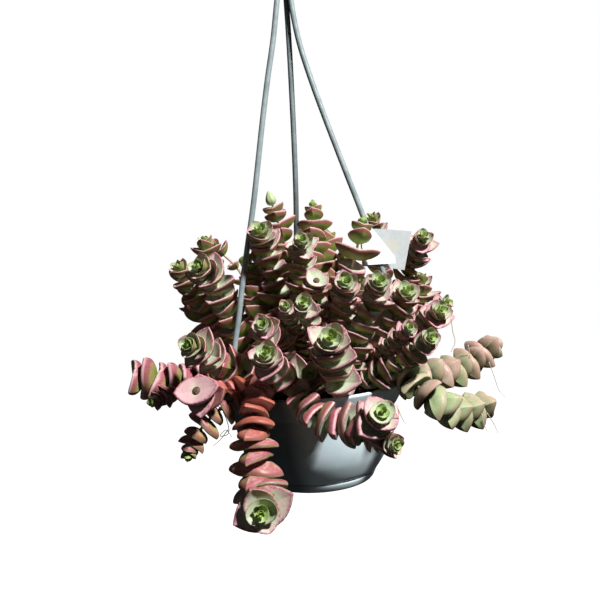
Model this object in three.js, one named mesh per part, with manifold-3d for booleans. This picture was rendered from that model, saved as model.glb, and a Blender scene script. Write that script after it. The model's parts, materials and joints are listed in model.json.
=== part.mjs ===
// Potted string of buttons (Crassula perforata) in a hanging pot.
// Millimetres, +Z up, +X to the right and -Y towards the viewer.
// The origin is the point inside the hook that hangs on a bar, and everything hangs below it.

import * as THREE from 'three';
import { mergeVertices } from 'three/addons/utils/BufferGeometryUtils.js';
import Module from 'manifold-3d';

const wasm = await Module();
wasm.setup();

// Driving dimensions. Heights are above the plane of the pot's rim unless they say otherwise.
const HANG_HEIGHT = 330;
const CLEARANCE = 0.3;

const POT_SIDES = 32;
const SOIL_SIDES = 24;
const RIM_RADIUS = 71;
const RIM_THICKNESS = 2.6;
const BAND_LOW_RADIUS = 62;
const BAND_HEIGHT = 17;
const POT_HEIGHT = 73;
const FOOT_RADIUS = 40;
const FLOOR_THICKNESS = 2.5;
const DRAIN_RADIUS = 3.5;
const DRAIN_DISTANCE = 25;
const DRAIN_COUNT = 4;

const SOIL_TOP = -13;
const ROOT_BOTTOM = -21;

const ARM_RADIUS = 2;
const ARM_SIDES = 6;
const PEG_SIZE = 4;
const PEG_DEPTH_BELOW_RIM = 5.4;

const HUB_TOP = 300;
const HUB_BOTTOM = 287;
const HUB_RADIUS = 10.6;
const SOCKET_RADIUS = 3.6;
const SOCKET_OUT = 5;
const HOOK_WIRE = 2.4;
const HOOK_INSIDE = 9;

const TAG_THICKNESS = 0.8;

const STEM_RADIUS = 1.5;
const ROOT_LENGTH_BARE = 12;
const LEAF_PITCH = 0.43;
const OLD_SPREAD = 1.3;
const MOST_PAIRS = 8;
const BACK_PAIRS = 5;
const YOUNG_PITCH = 0.6;
const LEAF_THICKNESS = 0.34;
const FAT_THICKNESS = 0.40;
const THINNEST_LEAF = 1.0;
const LEAF_WAIST = 0.6;
const LEAF_SHOULDER = 0.62;
const SHOULDER_WIDTH = 0.76;
const LEAF_KEEL = 0.6;
const KEEL_DEPTH = 0.68;
const EDGE_LIFT = 0.08;
const LEAF_ROOM = 1.0;
const YOUNG_SHARE = 0.5;
const STEM_SHOWS = 3.2;
const SMALLEST_PAIR = 0.28;
const CLOSED_BUD = 0.36;
const CLOSED_CUP = 42;
const CLOSED_HEIGHT = 2.3;
const PAIRS_TO_FULL_SIZE = 4;
const FLAT_CUP = 24;
const FAT_CUP = 8;
const SHALLOW_CUP = 13;
const YOUNG_CUP = 40;
const SHALLOW_YOUNG_CUP = 16;

const COLOURS = {
  pot: 0x66737a,
  soil: 0x3b2a20,
  hanger: 0xb4c2c8,
  tag: 0xf4f6f7,
  leaf: 0xc9b9a6,
  oldLeaf: 0xb0685a,
  paleLeaf: 0xc3c79a,
};

// Materials
function material(color, roughness) {
  return new THREE.MeshStandardMaterial({ color, roughness, metalness: 0, flatShading: true });
}

const potMaterial = material(COLOURS.pot, 0.45);
const soilMaterial = material(COLOURS.soil, 0.95);
const hangerMaterial = material(COLOURS.hanger, 0.4);
const tagMaterial = material(COLOURS.tag, 0.6);
const leafMaterial = material(COLOURS.leaf, 0.5);
const oldLeafMaterial = material(COLOURS.oldLeaf, 0.5);
const paleLeafMaterial = material(COLOURS.paleLeaf, 0.5);

// Solids: from three.js geometry to a manifold and back
function solidOf(geometry) {
  const bare = geometry.clone();
  bare.deleteAttribute('normal');
  bare.deleteAttribute('uv');
  const merged = mergeVertices(bare, 1e-4);
  return new wasm.Manifold(new wasm.Mesh({
    numProp: 3,
    vertProperties: new Float32Array(merged.attributes.position.array),
    triVerts: new Uint32Array(merged.index.array),
  }));
}

function geometryOf(solid) {
  const mesh = solid.getMesh();
  const geometry = new THREE.BufferGeometry();
  geometry.setAttribute('position', new THREE.BufferAttribute(mesh.vertProperties, 3));
  geometry.setIndex(new THREE.BufferAttribute(mesh.triVerts, 1));
  geometry.computeVertexNormals();
  return geometry;
}

function geometryFrom(vertices, triangles) {
  const geometry = new THREE.BufferGeometry();
  const numbers = vertices.flatMap((v) => [v.x, v.y, v.z]);
  geometry.setAttribute('position', new THREE.Float32BufferAttribute(numbers, 3));
  geometry.setIndex(triangles.flat());
  geometry.computeVertexNormals();
  return geometry;
}

function named(name, geometry, itsMaterial) {
  const mesh = new THREE.Mesh(geometry, itsMaterial);
  mesh.name = name;
  return mesh;
}

// A point at a distance out from the pot's axis, at an azimuth in degrees and a height
function around(azimuth, out, height) {
  const angle = THREE.MathUtils.degToRad(azimuth);
  return new THREE.Vector3(out * Math.cos(angle), out * Math.sin(angle), height);
}

// Radius of a profile at a height, straight between its points
function radiusAt(profile, height) {
  for (let i = 1; i < profile.length; i += 1) {
    const [lowRadius, low] = profile[i - 1];
    const [highRadius, high] = profile[i];
    if (height <= high) {
      const share = THREE.MathUtils.clamp((height - low) / (high - low), 0, 1);
      return lowRadius + share * (highRadius - lowRadius);
    }
  }
  return profile[profile.length - 1][0];
}

// Pot: a bowl with a flared collar. Outer and inner walls as [radius, height], bottom to top.
const POT_OUTER = [
  [FOOT_RADIUS, -POT_HEIGHT],
  [42.4, -POT_HEIGHT + 2],
  [44, -67],
  [48.8, -60],
  [54.4, -50],
  [60.3, -BAND_HEIGHT - 0.4],
  [BAND_LOW_RADIUS, -BAND_HEIGHT],
  [RIM_RADIUS, -1],
  [RIM_RADIUS - 0.6, 0],
];
const POT_INNER = [
  [40.6, -POT_HEIGHT + FLOOR_THICKNESS],
  [51, -51],
  [58, -BAND_HEIGHT - 2],
  [60, -BAND_HEIGHT + 1.4],
  [RIM_RADIUS - RIM_THICKNESS, 0],
];

// The pegs of the hanger's feet pass through square holes, square to the collar's inner face.
const COLLAR_TOP = new THREE.Vector2(RIM_RADIUS - RIM_THICKNESS, 0);
const COLLAR_LOW = new THREE.Vector2(60, -BAND_HEIGHT + 1.4);
const COLLAR_DOWN = COLLAR_LOW.clone().sub(COLLAR_TOP).normalize();
const COLLAR_IN = new THREE.Vector2(COLLAR_DOWN.y, -COLLAR_DOWN.x);
const PEG_PLACE = COLLAR_TOP.clone().addScaledVector(COLLAR_DOWN, PEG_DEPTH_BELOW_RIM / -COLLAR_DOWN.y);
const COLLAR_TILT = Math.atan2(-COLLAR_DOWN.x, -COLLAR_DOWN.y);
const ARM_AZIMUTHS = { back: 100, left: 210, right: 340 };

// A box that lies against the collar's inner face: its size is across, through the wall and along it
function collarBox(azimuth, across, through, along, offset) {
  const geometry = new THREE.BoxGeometry(through, across, along);
  geometry.rotateY(COLLAR_TILT);
  const place = PEG_PLACE.clone().addScaledVector(COLLAR_IN, offset);
  geometry.translate(place.x, 0, place.y);
  geometry.rotateZ(THREE.MathUtils.degToRad(azimuth));
  return solidOf(geometry);
}

function buildPot() {
  const outline = [[0, -POT_HEIGHT], ...POT_OUTER, ...[...POT_INNER].reverse(), [0, POT_INNER[0][1]]];
  const points = outline.map(([radius, height]) => new THREE.Vector2(radius, height));
  const lathe = new THREE.LatheGeometry(points, POT_SIDES);
  lathe.rotateX(Math.PI / 2);
  let pot = solidOf(lathe);
  for (const azimuth of Object.values(ARM_AZIMUTHS)) {
    const hole = PEG_SIZE + 2 * CLEARANCE;
    pot = pot.subtract(collarBox(azimuth, hole, 14, hole, 0));
  }
  for (let i = 0; i < DRAIN_COUNT; i += 1) {
    const drain = new THREE.CylinderGeometry(DRAIN_RADIUS, DRAIN_RADIUS, 12, 8);
    drain.rotateX(Math.PI / 2);
    const place = around(45 + (i * 360) / DRAIN_COUNT, DRAIN_DISTANCE, -POT_HEIGHT);
    drain.translate(place.x, place.y, place.z);
    pot = pot.subtract(solidOf(drain));
  }
  return named('pot', geometryOf(pot), potMaterial);
}

// Hanger: three arms from the hub down to the collar. Each is [distance out, height] from top to foot.
const ARM_PATHS = {
  left: [[5, 293], [5, 288], [8.3, 275], [13.7, 247], [20.4, 219], [27.3, 187], [37.8, 135], [44.4, 107],
    [51, 79], [56.7, 51], [60.8, 34], [64.4, 13], [64.9, -1]],
  back: [[5, 293], [5, 288], [3.4, 276], [3.6, 240], [8, 190], [14, 150], [22, 120], [38, 76], [56, 30],
    [64.6, 8], [64.9, -1]],
  right: [[5, 293], [5, 288], [2.9, 276], [6.7, 247], [14.2, 218], [23.5, 188], [36, 150], [46, 120],
    [58.3, 80], [64.6, 56], [67.2, 35], [66.8, 12], [64.9, -1]],
};

function armCurve(which) {
  const azimuth = ARM_AZIMUTHS[which];
  const points = ARM_PATHS[which].map(([out, height]) => around(azimuth, out, height));
  return new THREE.CatmullRomCurve3(points, false, 'catmullrom', 0.5);
}

function buildArm(which) {
  const azimuth = ARM_AZIMUTHS[which];
  const section = new THREE.Shape();
  for (let i = 0; i < ARM_SIDES; i += 1) {
    const angle = ((i + 0.5) * 2 * Math.PI) / ARM_SIDES;
    const x = ARM_RADIUS * Math.cos(angle);
    const y = ARM_RADIUS * Math.sin(angle);
    if (i === 0) section.moveTo(x, y);
    else section.lineTo(x, y);
  }
  const rod = new THREE.ExtrudeGeometry(section, { steps: 12, extrudePath: armCurve(which) });
  const tabThickness = 2.4;
  const tab = collarBox(azimuth, 8, tabThickness, 11, 2.4 * CLEARANCE + tabThickness / 2);
  const peg = collarBox(azimuth, PEG_SIZE, 4.6, PEG_SIZE, -1);
  const arm = solidOf(rod).add(tab).add(peg);
  return named(`hanger_arm_${which}`, geometryOf(arm), hangerMaterial);
}

// Hub and hook in one moulding: a tapered disc with three sockets and a J-shaped hook on top
function buildHook() {
  const shoulder = [[HUB_RADIUS, HUB_BOTTOM], [HUB_RADIUS, HUB_BOTTOM + 5]];
  const profile = [[0, HUB_BOTTOM], ...shoulder, [4, HUB_TOP], [0, HUB_TOP]];
  const disc = new THREE.LatheGeometry(profile.map(([r, z]) => new THREE.Vector2(r, z)), 12);
  disc.rotateX(Math.PI / 2);
  let hub = solidOf(disc);
  for (const azimuth of Object.values(ARM_AZIMUTHS)) {
    const socket = new THREE.CylinderGeometry(SOCKET_RADIUS, SOCKET_RADIUS, 14, 6);
    socket.rotateX(Math.PI / 2);
    const place = around(azimuth, SOCKET_OUT, HUB_BOTTOM);
    socket.translate(place.x, place.y, place.z);
    hub = hub.subtract(solidOf(socket));
  }
  const bend = HOOK_INSIDE + HOOK_WIRE;
  const middle = HANG_HEIGHT - HOOK_INSIDE;
  const points = [new THREE.Vector3(0, 0, HUB_TOP - 3), new THREE.Vector3(1, 0, HUB_TOP + 4)];
  for (let degrees = -40; degrees <= 200; degrees += 20) {
    const angle = THREE.MathUtils.degToRad(degrees);
    points.push(new THREE.Vector3(bend * Math.cos(angle), 0, middle + bend * Math.sin(angle)));
  }
  const path = new THREE.CatmullRomCurve3(points, false, 'centripetal');
  const section = new THREE.Shape();
  section.absarc(0, 0, HOOK_WIRE, 0, 2 * Math.PI);
  const hook = new THREE.ExtrudeGeometry(section, { steps: 15, curveSegments: 4, extrudePath: path });
  return named('hanger_hook', geometryOf(hub.add(solidOf(hook))), hangerMaterial);
}

// Tag: a folded blank label hung over the right arm. Outlines are [x, height] from the tag's middle.
const TAG_MIDDLE = new THREE.Vector3(54, -18.3, 95);
const TAG_TILT = THREE.MathUtils.degToRad(6.4);
const TAG_FRONT = [[-13, -12], [10.5, -12], [10, -7], [-6, 16], [-13, 16]];
const TAG_REAR = [[-13, 13.5], [-1, 14], [24, 10.5], [17, -17], [5, -14.5], [-13, -12]];

function tagPanel(outline, offset) {
  const shape = new THREE.Shape(outline.map(([x, z]) => new THREE.Vector2(x, z)));
  const panel = new THREE.ExtrudeGeometry(shape, { depth: TAG_THICKNESS, bevelEnabled: false });
  panel.rotateX(Math.PI / 2);
  panel.translate(0, offset + TAG_THICKNESS / 2, 0);
  return solidOf(panel);
}

function buildTag() {
  const half = ARM_RADIUS + CLEARANCE + TAG_THICKNESS / 2;
  const fold = new THREE.BoxGeometry(TAG_THICKNESS, 2 * half, 25.5);
  fold.translate(-13 + TAG_THICKNESS / 2, 0, 0.75);
  const tag = tagPanel(TAG_FRONT, -half).add(tagPanel(TAG_REAR, half)).add(solidOf(fold));
  const mesh = named('plant_tag', geometryOf(tag), tagMaterial);
  mesh.position.copy(TAG_MIDDLE);
  mesh.rotation.x = -TAG_TILT;
  return mesh;
}

// Leafy stems. Root is where the stem leaves the soil; through are the points that it passes, root to tip.
// leaf is the half span of a full-grown pair, turn is the tip pair's azimuth, pairs is the most pairs it
// has, bare is the leafless length at its foot, base is the lowest pair's share of full size, and grown is
// how many pairs it takes to reach full size. An open stem shows between its pairs, an even one spaces them
// evenly, a cut one has lost its tip, a closed one ends in a shut bud, a fat one has thick flat leaves, and a
// shallow one has leaves that hardly stand up. thick is the thickness as a share of the half span.
const STEMS = [
  {
    name: 'crown_left', root: [-6, 4],
    leaf: 14, turn: 90, pitch: 0.56, pairs: 11, grown: 2, open: true, even: true, shallow: true, closed: true,
    through: [[-7, 5, 37], [-10, 6, 75], [-14, 8, 100], [-17, 9, 116], [-21, 8, 132]],
  },
  {
    name: 'crown_middle', root: [6, -6],
    leaf: 14, turn: 84, pitch: 0.62, pairs: 11, grown: 3, open: true, even: true, shallow: true,
    through: [[7, -12, 38], [7, -20, 72], [6, -14, 91], [9, -6, 112], [9, -2, 129]],
  },
  {
    name: 'crown_right', root: [20, -16],
    leaf: 16.5, turn: 90, pitch: 0.74, pairs: 9, grown: 3, open: true, even: true, shallow: true,
    through: [[26, -24, 35], [29, -28, 70], [34, -33, 87], [38, -32, 100], [42, -28, 114]],
  },
  {
    name: 'crown_back_right', root: [38, 18],
    leaf: 13, turn: 30, pairs: 7, grown: 4,
    through: [[60, 26, 38], [59, 28, 77], [57, 26, 97], [54, 20, 117]],
  },
  {
    name: 'upper_right', root: [42, 2],
    leaf: 13, turn: 20,
    through: [[56, 8, 25], [68, 6, 55], [78, 4, 77], [84, -5, 92], [85, -11, 96], [86, -16, 101]],
  },
  {
    name: 'upper_left', root: [-14, -9],
    leaf: 17, turn: 40,
    through: [[-19, -12, 36], [-22, -18, 70], [-25, -22, 90], [-28, -27, 102], [-29, -36, 112]],
  },
  {
    name: 'upper_middle', root: [-3, -22],
    leaf: 13, turn: 30,
    through: [[-3, -30, 41], [-3, -33, 73], [-2, -40, 96], [-1, -46, 100], [-1, -52, 104]],
  },
  {
    name: 'left_big', root: [-32, -14],
    leaf: 17, turn: 60,
    through: [[-44, -10, 27], [-57, -14, 54], [-64, -25, 79], [-68, -33, 85], [-72, -40, 90]],
  },
  {
    name: 'left_upright', root: [-30, 5],
    leaf: 12, turn: 70, pairs: 7, grown: 3,
    through: [[-52, 12, 39], [-63, 8, 71], [-70, 4, 92], [-72, 2, 108]],
  },
  {
    name: 'left_sparse', root: [-24, 20],
    leaf: 10, turn: 20, pitch: 1.1, grown: 2, bare: 70,
    through: [[-40, 22, 44], [-47, 23, 76], [-53, 22, 88], [-61, 20, 97], [-68, 20, 106]],
  },
  {
    name: 'left_side', root: [-44, -2],
    leaf: 14, turn: 40, pairs: 7,
    through: [[-58, 4, 29], [-75, 0, 61], [-85, -4, 78], [-91, -10, 90]],
  },
  {
    name: 'left_low', root: [-34, -30],
    leaf: 15, turn: 45,
    through: [[-43, -49, 15], [-60, -58, 25], [-68, -71, 36], [-72, -79, 40], [-76, -86, 43]],
  },
  {
    name: 'left_cut', root: [-37, -38],
    leaf: 16.5, turn: -8, pitch: 0.36, grown: 12, base: 0.7, bare: 20, cut: true, old: true, fat: true,
    through: [[-46, -54, 7], [-60, -68, 8], [-68, -82, 9], [-71, -89, 12], [-73, -95, 16]],
  },
  {
    name: 'left_long', root: [-49, -20],
    leaf: 19, turn: 88, pitch: 0.37, bare: 30, open: true, cut: true, fat: true,
    through: [[-59, -22, 8], [-69, -28, 11], [-82, -35, 10], [-99.5, -39, 11], [-111, -40.5, 14.5],
      [-122, -42, 17]],
    shoot: {
      from: [-84, -35, 10], leaf: 9, turn: 20, open: true,
      through: [[-93, -46, 8], [-101, -54, 5], [-107, -63, 4]],
    },
  },
  {
    name: 'left_trailing', root: [-31, -45],
    leaf: 13, turn: 10, pitch: 0.5, grown: 4, bare: 26, open: true, old: true, fat: true,
    through: [[-40, -62, 7], [-54, -71, 3], [-67, -74, -6], [-76, -76, -15], [-81, -78, -23],
      [-83, -82, -29]],
  },
  {
    name: 'front_trailing', root: [-25, -48],
    leaf: 22, thick: 0.3, turn: 80, pitch: 0.28, pairs: 15, grown: 3, base: 0.5, bare: 16,
    open: true, old: true, fat: true,
    through: [[-34, -62, 6], [-38, -78, 4], [-39, -88, -7], [-40, -90, -19], [-39, -92, -31],
      [-39, -93, -44], [-36, -105, -56], [-36, -114, -55], [-36, -122, -54]],
  },
  {
    name: 'front_square', root: [-14, -38],
    leaf: 12, turn: 0, grown: 4,
    through: [[-18, -46, 34], [-27, -64, 46], [-29, -70, 49], [-30, -76, 52]],
  },
  {
    name: 'front_low', root: [-6, -46],
    leaf: 15.5, turn: 70,
    through: [[-8, -56, 9], [-16, -70, 16], [-24, -81, 23.5], [-27, -88, 30], [-28, -96, 36]],
  },
  {
    name: 'front_stub', root: [5, -26],
    leaf: 13, turn: -45, pairs: 6, cut: true,
    through: [[5, -30, 30], [5, -36, 48], [6, -40, 62], [6, -44, 71], [7, -50, 77]],
  },
  {
    name: 'front_small', root: [-4, -32],
    leaf: 9, turn: 20, pairs: 7, grown: 4,
    through: [[-4, -41, 35], [-11, -48, 51], [-14, -54, 56], [-14, -58, 59], [-15, -62, 62]],
  },
  {
    name: 'front_short_left', root: [-22, -36],
    leaf: 12, turn: 15, pairs: 6, grown: 3,
    through: [[-24, -42, 4], [-27, -52, 14], [-29, -62, 19]],
  },
  {
    name: 'front_short_right', root: [6, -48],
    leaf: 12, turn: 50, pairs: 6, grown: 3,
    through: [[4, -52, 2], [0, -60, 11], [-2, -70, 17]],
  },
  {
    name: 'front_middle', root: [8, -36],
    leaf: 13, turn: 60,
    through: [[8, -40, 28], [-2, -58, 56], [-3, -65, 60], [-3, -72, 64]],
  },
  {
    name: 'front_big', root: [18, -50],
    leaf: 18, turn: 60, pitch: 0.34,
    through: [[18, -64, 5], [16, -75, 11], [14, -82, 24], [12, -88, 36], [12, -98, 43]],
  },
  {
    name: 'front_strand', root: [-14, -54],
    leaf: 19, turn: 75, pitch: 0.34, pairs: 11, grown: 3, base: 0.6, bare: 16,
    open: true, old: true, fat: true,
    through: [[-12, -66, 7], [-8, -78, 1], [3, -86, -9], [14, -90, -12], [22, -94, -13], [30, -99, -14],
      [36, -106, -9], [38, -112, -4], [39, -118, 0]],
    shoot: {
      from: [22, -94, -12], leaf: 11, turn: 30, grown: 4, bare: 8, open: true,
      through: [[30, -94, -19], [39, -98, -22], [47, -111, -22]],
    },
  },
  {
    name: 'right_rosette', root: [44, -27],
    leaf: 14, turn: 20,
    through: [[54, -32, 15], [69, -40, 31], [81, -50, 44], [84, -56, 48], [87, -62, 52]],
  },
  {
    name: 'right_star', root: [54, -8],
    leaf: 12, turn: 50, grown: 4,
    through: [[70, -8, 22], [87, -10, 39], [92, -16, 46], [95, -19, 50], [99, -22, 53]],
  },
  {
    name: 'right_low', root: [30, -44],
    leaf: 14, turn: 30,
    through: [[35, -50, 3], [51, -58, 15], [69, -67, 30], [73, -74, 34], [76, -80, 37]],
  },
  {
    name: 'right_small', root: [38, -35],
    leaf: 9, turn: 30, pairs: 7, grown: 4,
    through: [[48, -48, 22], [59, -62, 36], [63, -67, 40], [64, -72, 42], [64, -76, 44]],
  },
  {
    name: 'right_inner', root: [24, -34],
    leaf: 15, turn: 45,
    through: [[26, -40, 11], [33, -50, 38], [45, -57, 64], [46, -63, 69], [47, -70, 74]],
  },
  {
    name: 'right_hidden', root: [32, -2],
    leaf: 14, turn: 0, pairs: 5,
    through: [[41, -2, 27], [40, -10, 51], [40, -18, 70]],
  },
  {
    name: 'right_strand_upper', root: [51, -17],
    leaf: 15, turn: 48, pitch: 0.42, pairs: 12, grown: 3, bare: 24,
    open: true, pale: true, fat: true,
    through: [[60, -29, 5], [66, -37, 8], [75, -37, 4], [86, -30, 4], [97, -20, 2], [109, -10, 3],
      [121, 0, 6], [131, 8, 11], [142, 15, 14]],
  },
  {
    name: 'right_strand_lower', root: [42, -34],
    leaf: 15, turn: 40, pitch: 0.42, pairs: 11, grown: 3, bare: 32,
    open: true, pale: true, fat: true,
    through: [[51, -42, 8], [59, -51, 10], [68, -60, 3], [77, -64, -5], [85, -59, -12], [92, -50, -19],
      [100, -42, -22], [108, -34, -23], [116, -26, -24], [126, -18, -23]],
  },
  {
    name: 'left_inner', root: [-24, -25],
    leaf: 15, turn: 60, pairs: 5,
    through: [[-31, -22, 28], [-34, -17, 51], [-37, -14, 71], [-37, -14, 84]],
  },
  {
    name: 'right_broad', root: [50, 12],
    leaf: 15, turn: 10, pairs: 6,
    through: [[73, 14, 31], [82, 12, 46], [86, 10, 59], [87, 8, 69]],
  },
  {
    name: 'right_pink', root: [40, -14],
    leaf: 17, turn: 35,
    through: [[49, -22, 22], [56, -31, 40], [65, -37, 56], [68, -44, 64]],
  },
  {
    name: 'middle_inner', root: [14, -30],
    leaf: 14, turn: 20,
    through: [[18, -40, 31], [24, -46, 58], [26, -55, 70], [26, -63, 75]],
  },
];

// Stems at the back, which the rest hides: two rows that lean outwards, set by a rule with seeded draws.
const BACK_ROWS = [
  {
    count: 7, first: 24, last: 162, seed: 21, lean: 0,
    rootOut: 48, bendOut: 68, bendHeight: 27, tipOut: 92, tipHeight: 62,
  },
  {
    count: 7, first: 30, last: 150, seed: 119, lean: 0.22,
    rootOut: 26, bendOut: 36, bendHeight: 48, tipOut: 50, tipHeight: 106,
  },
];

// A repeatable draw between 0 and 1
function drawer(seed) {
  let state = seed;
  return () => {
    state = (state * 16807) % 2147483647;
    return state / 2147483647;
  };
}

function backStems() {
  const stems = [];
  for (const row of BACK_ROWS) {
    const draw = drawer(row.seed);
    for (let i = 0; i < row.count; i += 1) {
      const azimuth = row.first + ((row.last - row.first) * i) / (row.count - 1);
      const reach = 0.9 + 0.2 * draw();
      const swing = azimuth + 8 * (draw() - 0.5);
      const sideways = Math.abs(Math.cos(THREE.MathUtils.degToRad(azimuth)));
      const tall = row.tipHeight * reach * (1 - row.lean * sideways);
      const root = around(azimuth, row.rootOut, 0);
      const bend = around(swing, row.bendOut, row.bendHeight);
      const rise = around(swing, (row.bendOut + row.tipOut) / 2 + 2, (row.bendHeight + tall) / 2);
      const tip = around(swing, row.tipOut * reach, tall);
      stems.push({
        name: `back_${String(stems.length + 1).padStart(2, '0')}`,
        root: [root.x, root.y],
        leaf: 15 + 4 * draw(),
        pairs: BACK_PAIRS,
        turn: 90 * draw(),
        through: [bend, rise, tip].map((p) => [p.x, p.y, p.z]),
      });
    }
  }
  return stems;
}

const PATH_STEPS = 48;

// A stem's path as samples with a frame: where it is, which way it grows, and two directions across it
function samplePath(points) {
  const curve = new THREE.CatmullRomCurve3(points, false, 'catmullrom', 0.5);
  const samples = [];
  let across = new THREE.Vector3(1, 0, 0);
  let length = 0;
  for (let i = 0; i <= PATH_STEPS; i += 1) {
    const at = curve.getPoint(i / PATH_STEPS);
    const before = curve.getPoint(Math.max(i / PATH_STEPS - 0.002, 0));
    const after = curve.getPoint(Math.min(i / PATH_STEPS + 0.002, 1));
    const growth = after.sub(before).normalize();
    across = across.clone().addScaledVector(growth, -across.dot(growth)).normalize();
    if (i > 0) length += at.distanceTo(samples[i - 1].at);
    samples.push({ at, growth, across, length });
  }
  return samples;
}

// The frame at a length along the path, straight between samples
function frameAt(samples, length) {
  let i = 1;
  while (i < samples.length - 1 && samples[i].length < length) i += 1;
  const low = samples[i - 1];
  const high = samples[i];
  const share = (length - low.length) / (high.length - low.length);
  const at = low.at.clone().lerp(high.at, share);
  const growth = low.growth.clone().lerp(high.growth, share).normalize();
  const across = low.across.clone().lerp(high.across, share);
  across.addScaledVector(growth, -across.dot(growth)).normalize();
  return { at, growth, across, side: growth.clone().cross(across) };
}

// The direction across the stem at an azimuth in degrees
function outward(frame, degrees) {
  const angle = THREE.MathUtils.degToRad(degrees);
  return frame.across.clone().multiplyScalar(Math.cos(angle)).addScaledVector(frame.side, Math.sin(angle));
}

// A point of a pair: so far out in one direction, so far in a second, and so high along the stem
function pairPoint(frame, first, out, second, sideways, high) {
  return frame.at.clone()
    .addScaledVector(first, out)
    .addScaledVector(second, sideways)
    .addScaledVector(frame.growth, high);
}

function planStem(stem, index, start) {
  const points = [start, ...stem.through.map(([x, y, z]) => new THREE.Vector3(x, y, z))];
  return { ...stem, index, start, samples: samplePath(points) };
}

function planStems() {
  const plans = [];
  for (const stem of [...STEMS, ...backStems()]) {
    const start = new THREE.Vector3(stem.root[0], stem.root[1], SOIL_TOP + 1.5);
    plans.push(planStem({ ...stem, owner: stem.name }, plans.length, start));
    if (stem.shoot) {
      const from = new THREE.Vector3(...stem.shoot.from);
      plans.push(planStem({ ...stem.shoot, owner: stem.name }, plans.length, from));
    }
  }
  return plans;
}

// Room for leaves: a leaf point is free where it is nearer to its own stem than to any other, and clear of
// the soil, the pot, the arms and the tag.
const armSamples = Object.keys(ARM_AZIMUTHS).flatMap((which) => armCurve(which).getPoints(90));

function distanceToSamples(point, samples) {
  let nearest = Infinity;
  for (const sample of samples) nearest = Math.min(nearest, point.distanceToSquared(sample.at ?? sample));
  return Math.sqrt(nearest);
}

function clearOfHolder(point) {
  const out = Math.hypot(point.x, point.y);
  if (point.z < 1.2 && point.z > -POT_HEIGHT - 1) {
    const outside = out > radiusAt(POT_OUTER, point.z) + 1.2;
    const inside = out < radiusAt(POT_INNER, point.z) - 1.2 && point.z > SOIL_TOP + 1;
    if (!outside && !inside) return false;
  }
  const tagX = point.x - TAG_MIDDLE.x;
  const tagZ = point.z - TAG_MIDDLE.z;
  const besideTag = Math.abs(point.y - TAG_MIDDLE.y - 0.11 * tagZ) > 4.2;
  if (!besideTag && tagX > -14 && tagX < 25 && tagZ > -18 && tagZ < 17) return false;
  return distanceToSamples(point, armSamples) > ARM_RADIUS + 2.2;
}

function isFree(point, plan, plans) {
  const own = distanceToSamples(point, plan.samples) + LEAF_ROOM;
  for (const other of plans) {
    if (other.owner !== plan.owner && distanceToSamples(point, other.samples) < own) return false;
  }
  return clearOfHolder(point);
}

// The share of its full size that a lobe of a pair can have here
function roomFor(lobePoints, plan, plans) {
  for (let share = 1; share > 0.25; share -= 0.1) {
    if (lobePoints(share).every((point) => isFree(point, plan, plans))) return share;
  }
  return 0.18;
}

// Points of a leaf that have to be free: its tip, edges and keel
const PROBES = [
  [1, 0], [0.8, 0], [0.85, 0.26], [0.85, -0.26], [0.6, 0.52], [0.6, -0.52], [0.3, 0.6], [0.3, -0.6],
  [0.5, 0.25], [0.5, -0.25], [0.3, 0],
];

function leafProbes(frame, out, beside, reach, cup, thick) {
  const points = PROBES.map(([along, wide]) => pairPoint(frame, out, along * reach, beside, wide * reach,
    along * reach * cup));
  points.push(pairPoint(frame, out, 0.5 * reach, beside, 0, 0.5 * reach * cup - thick));
  return points;
}

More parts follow.
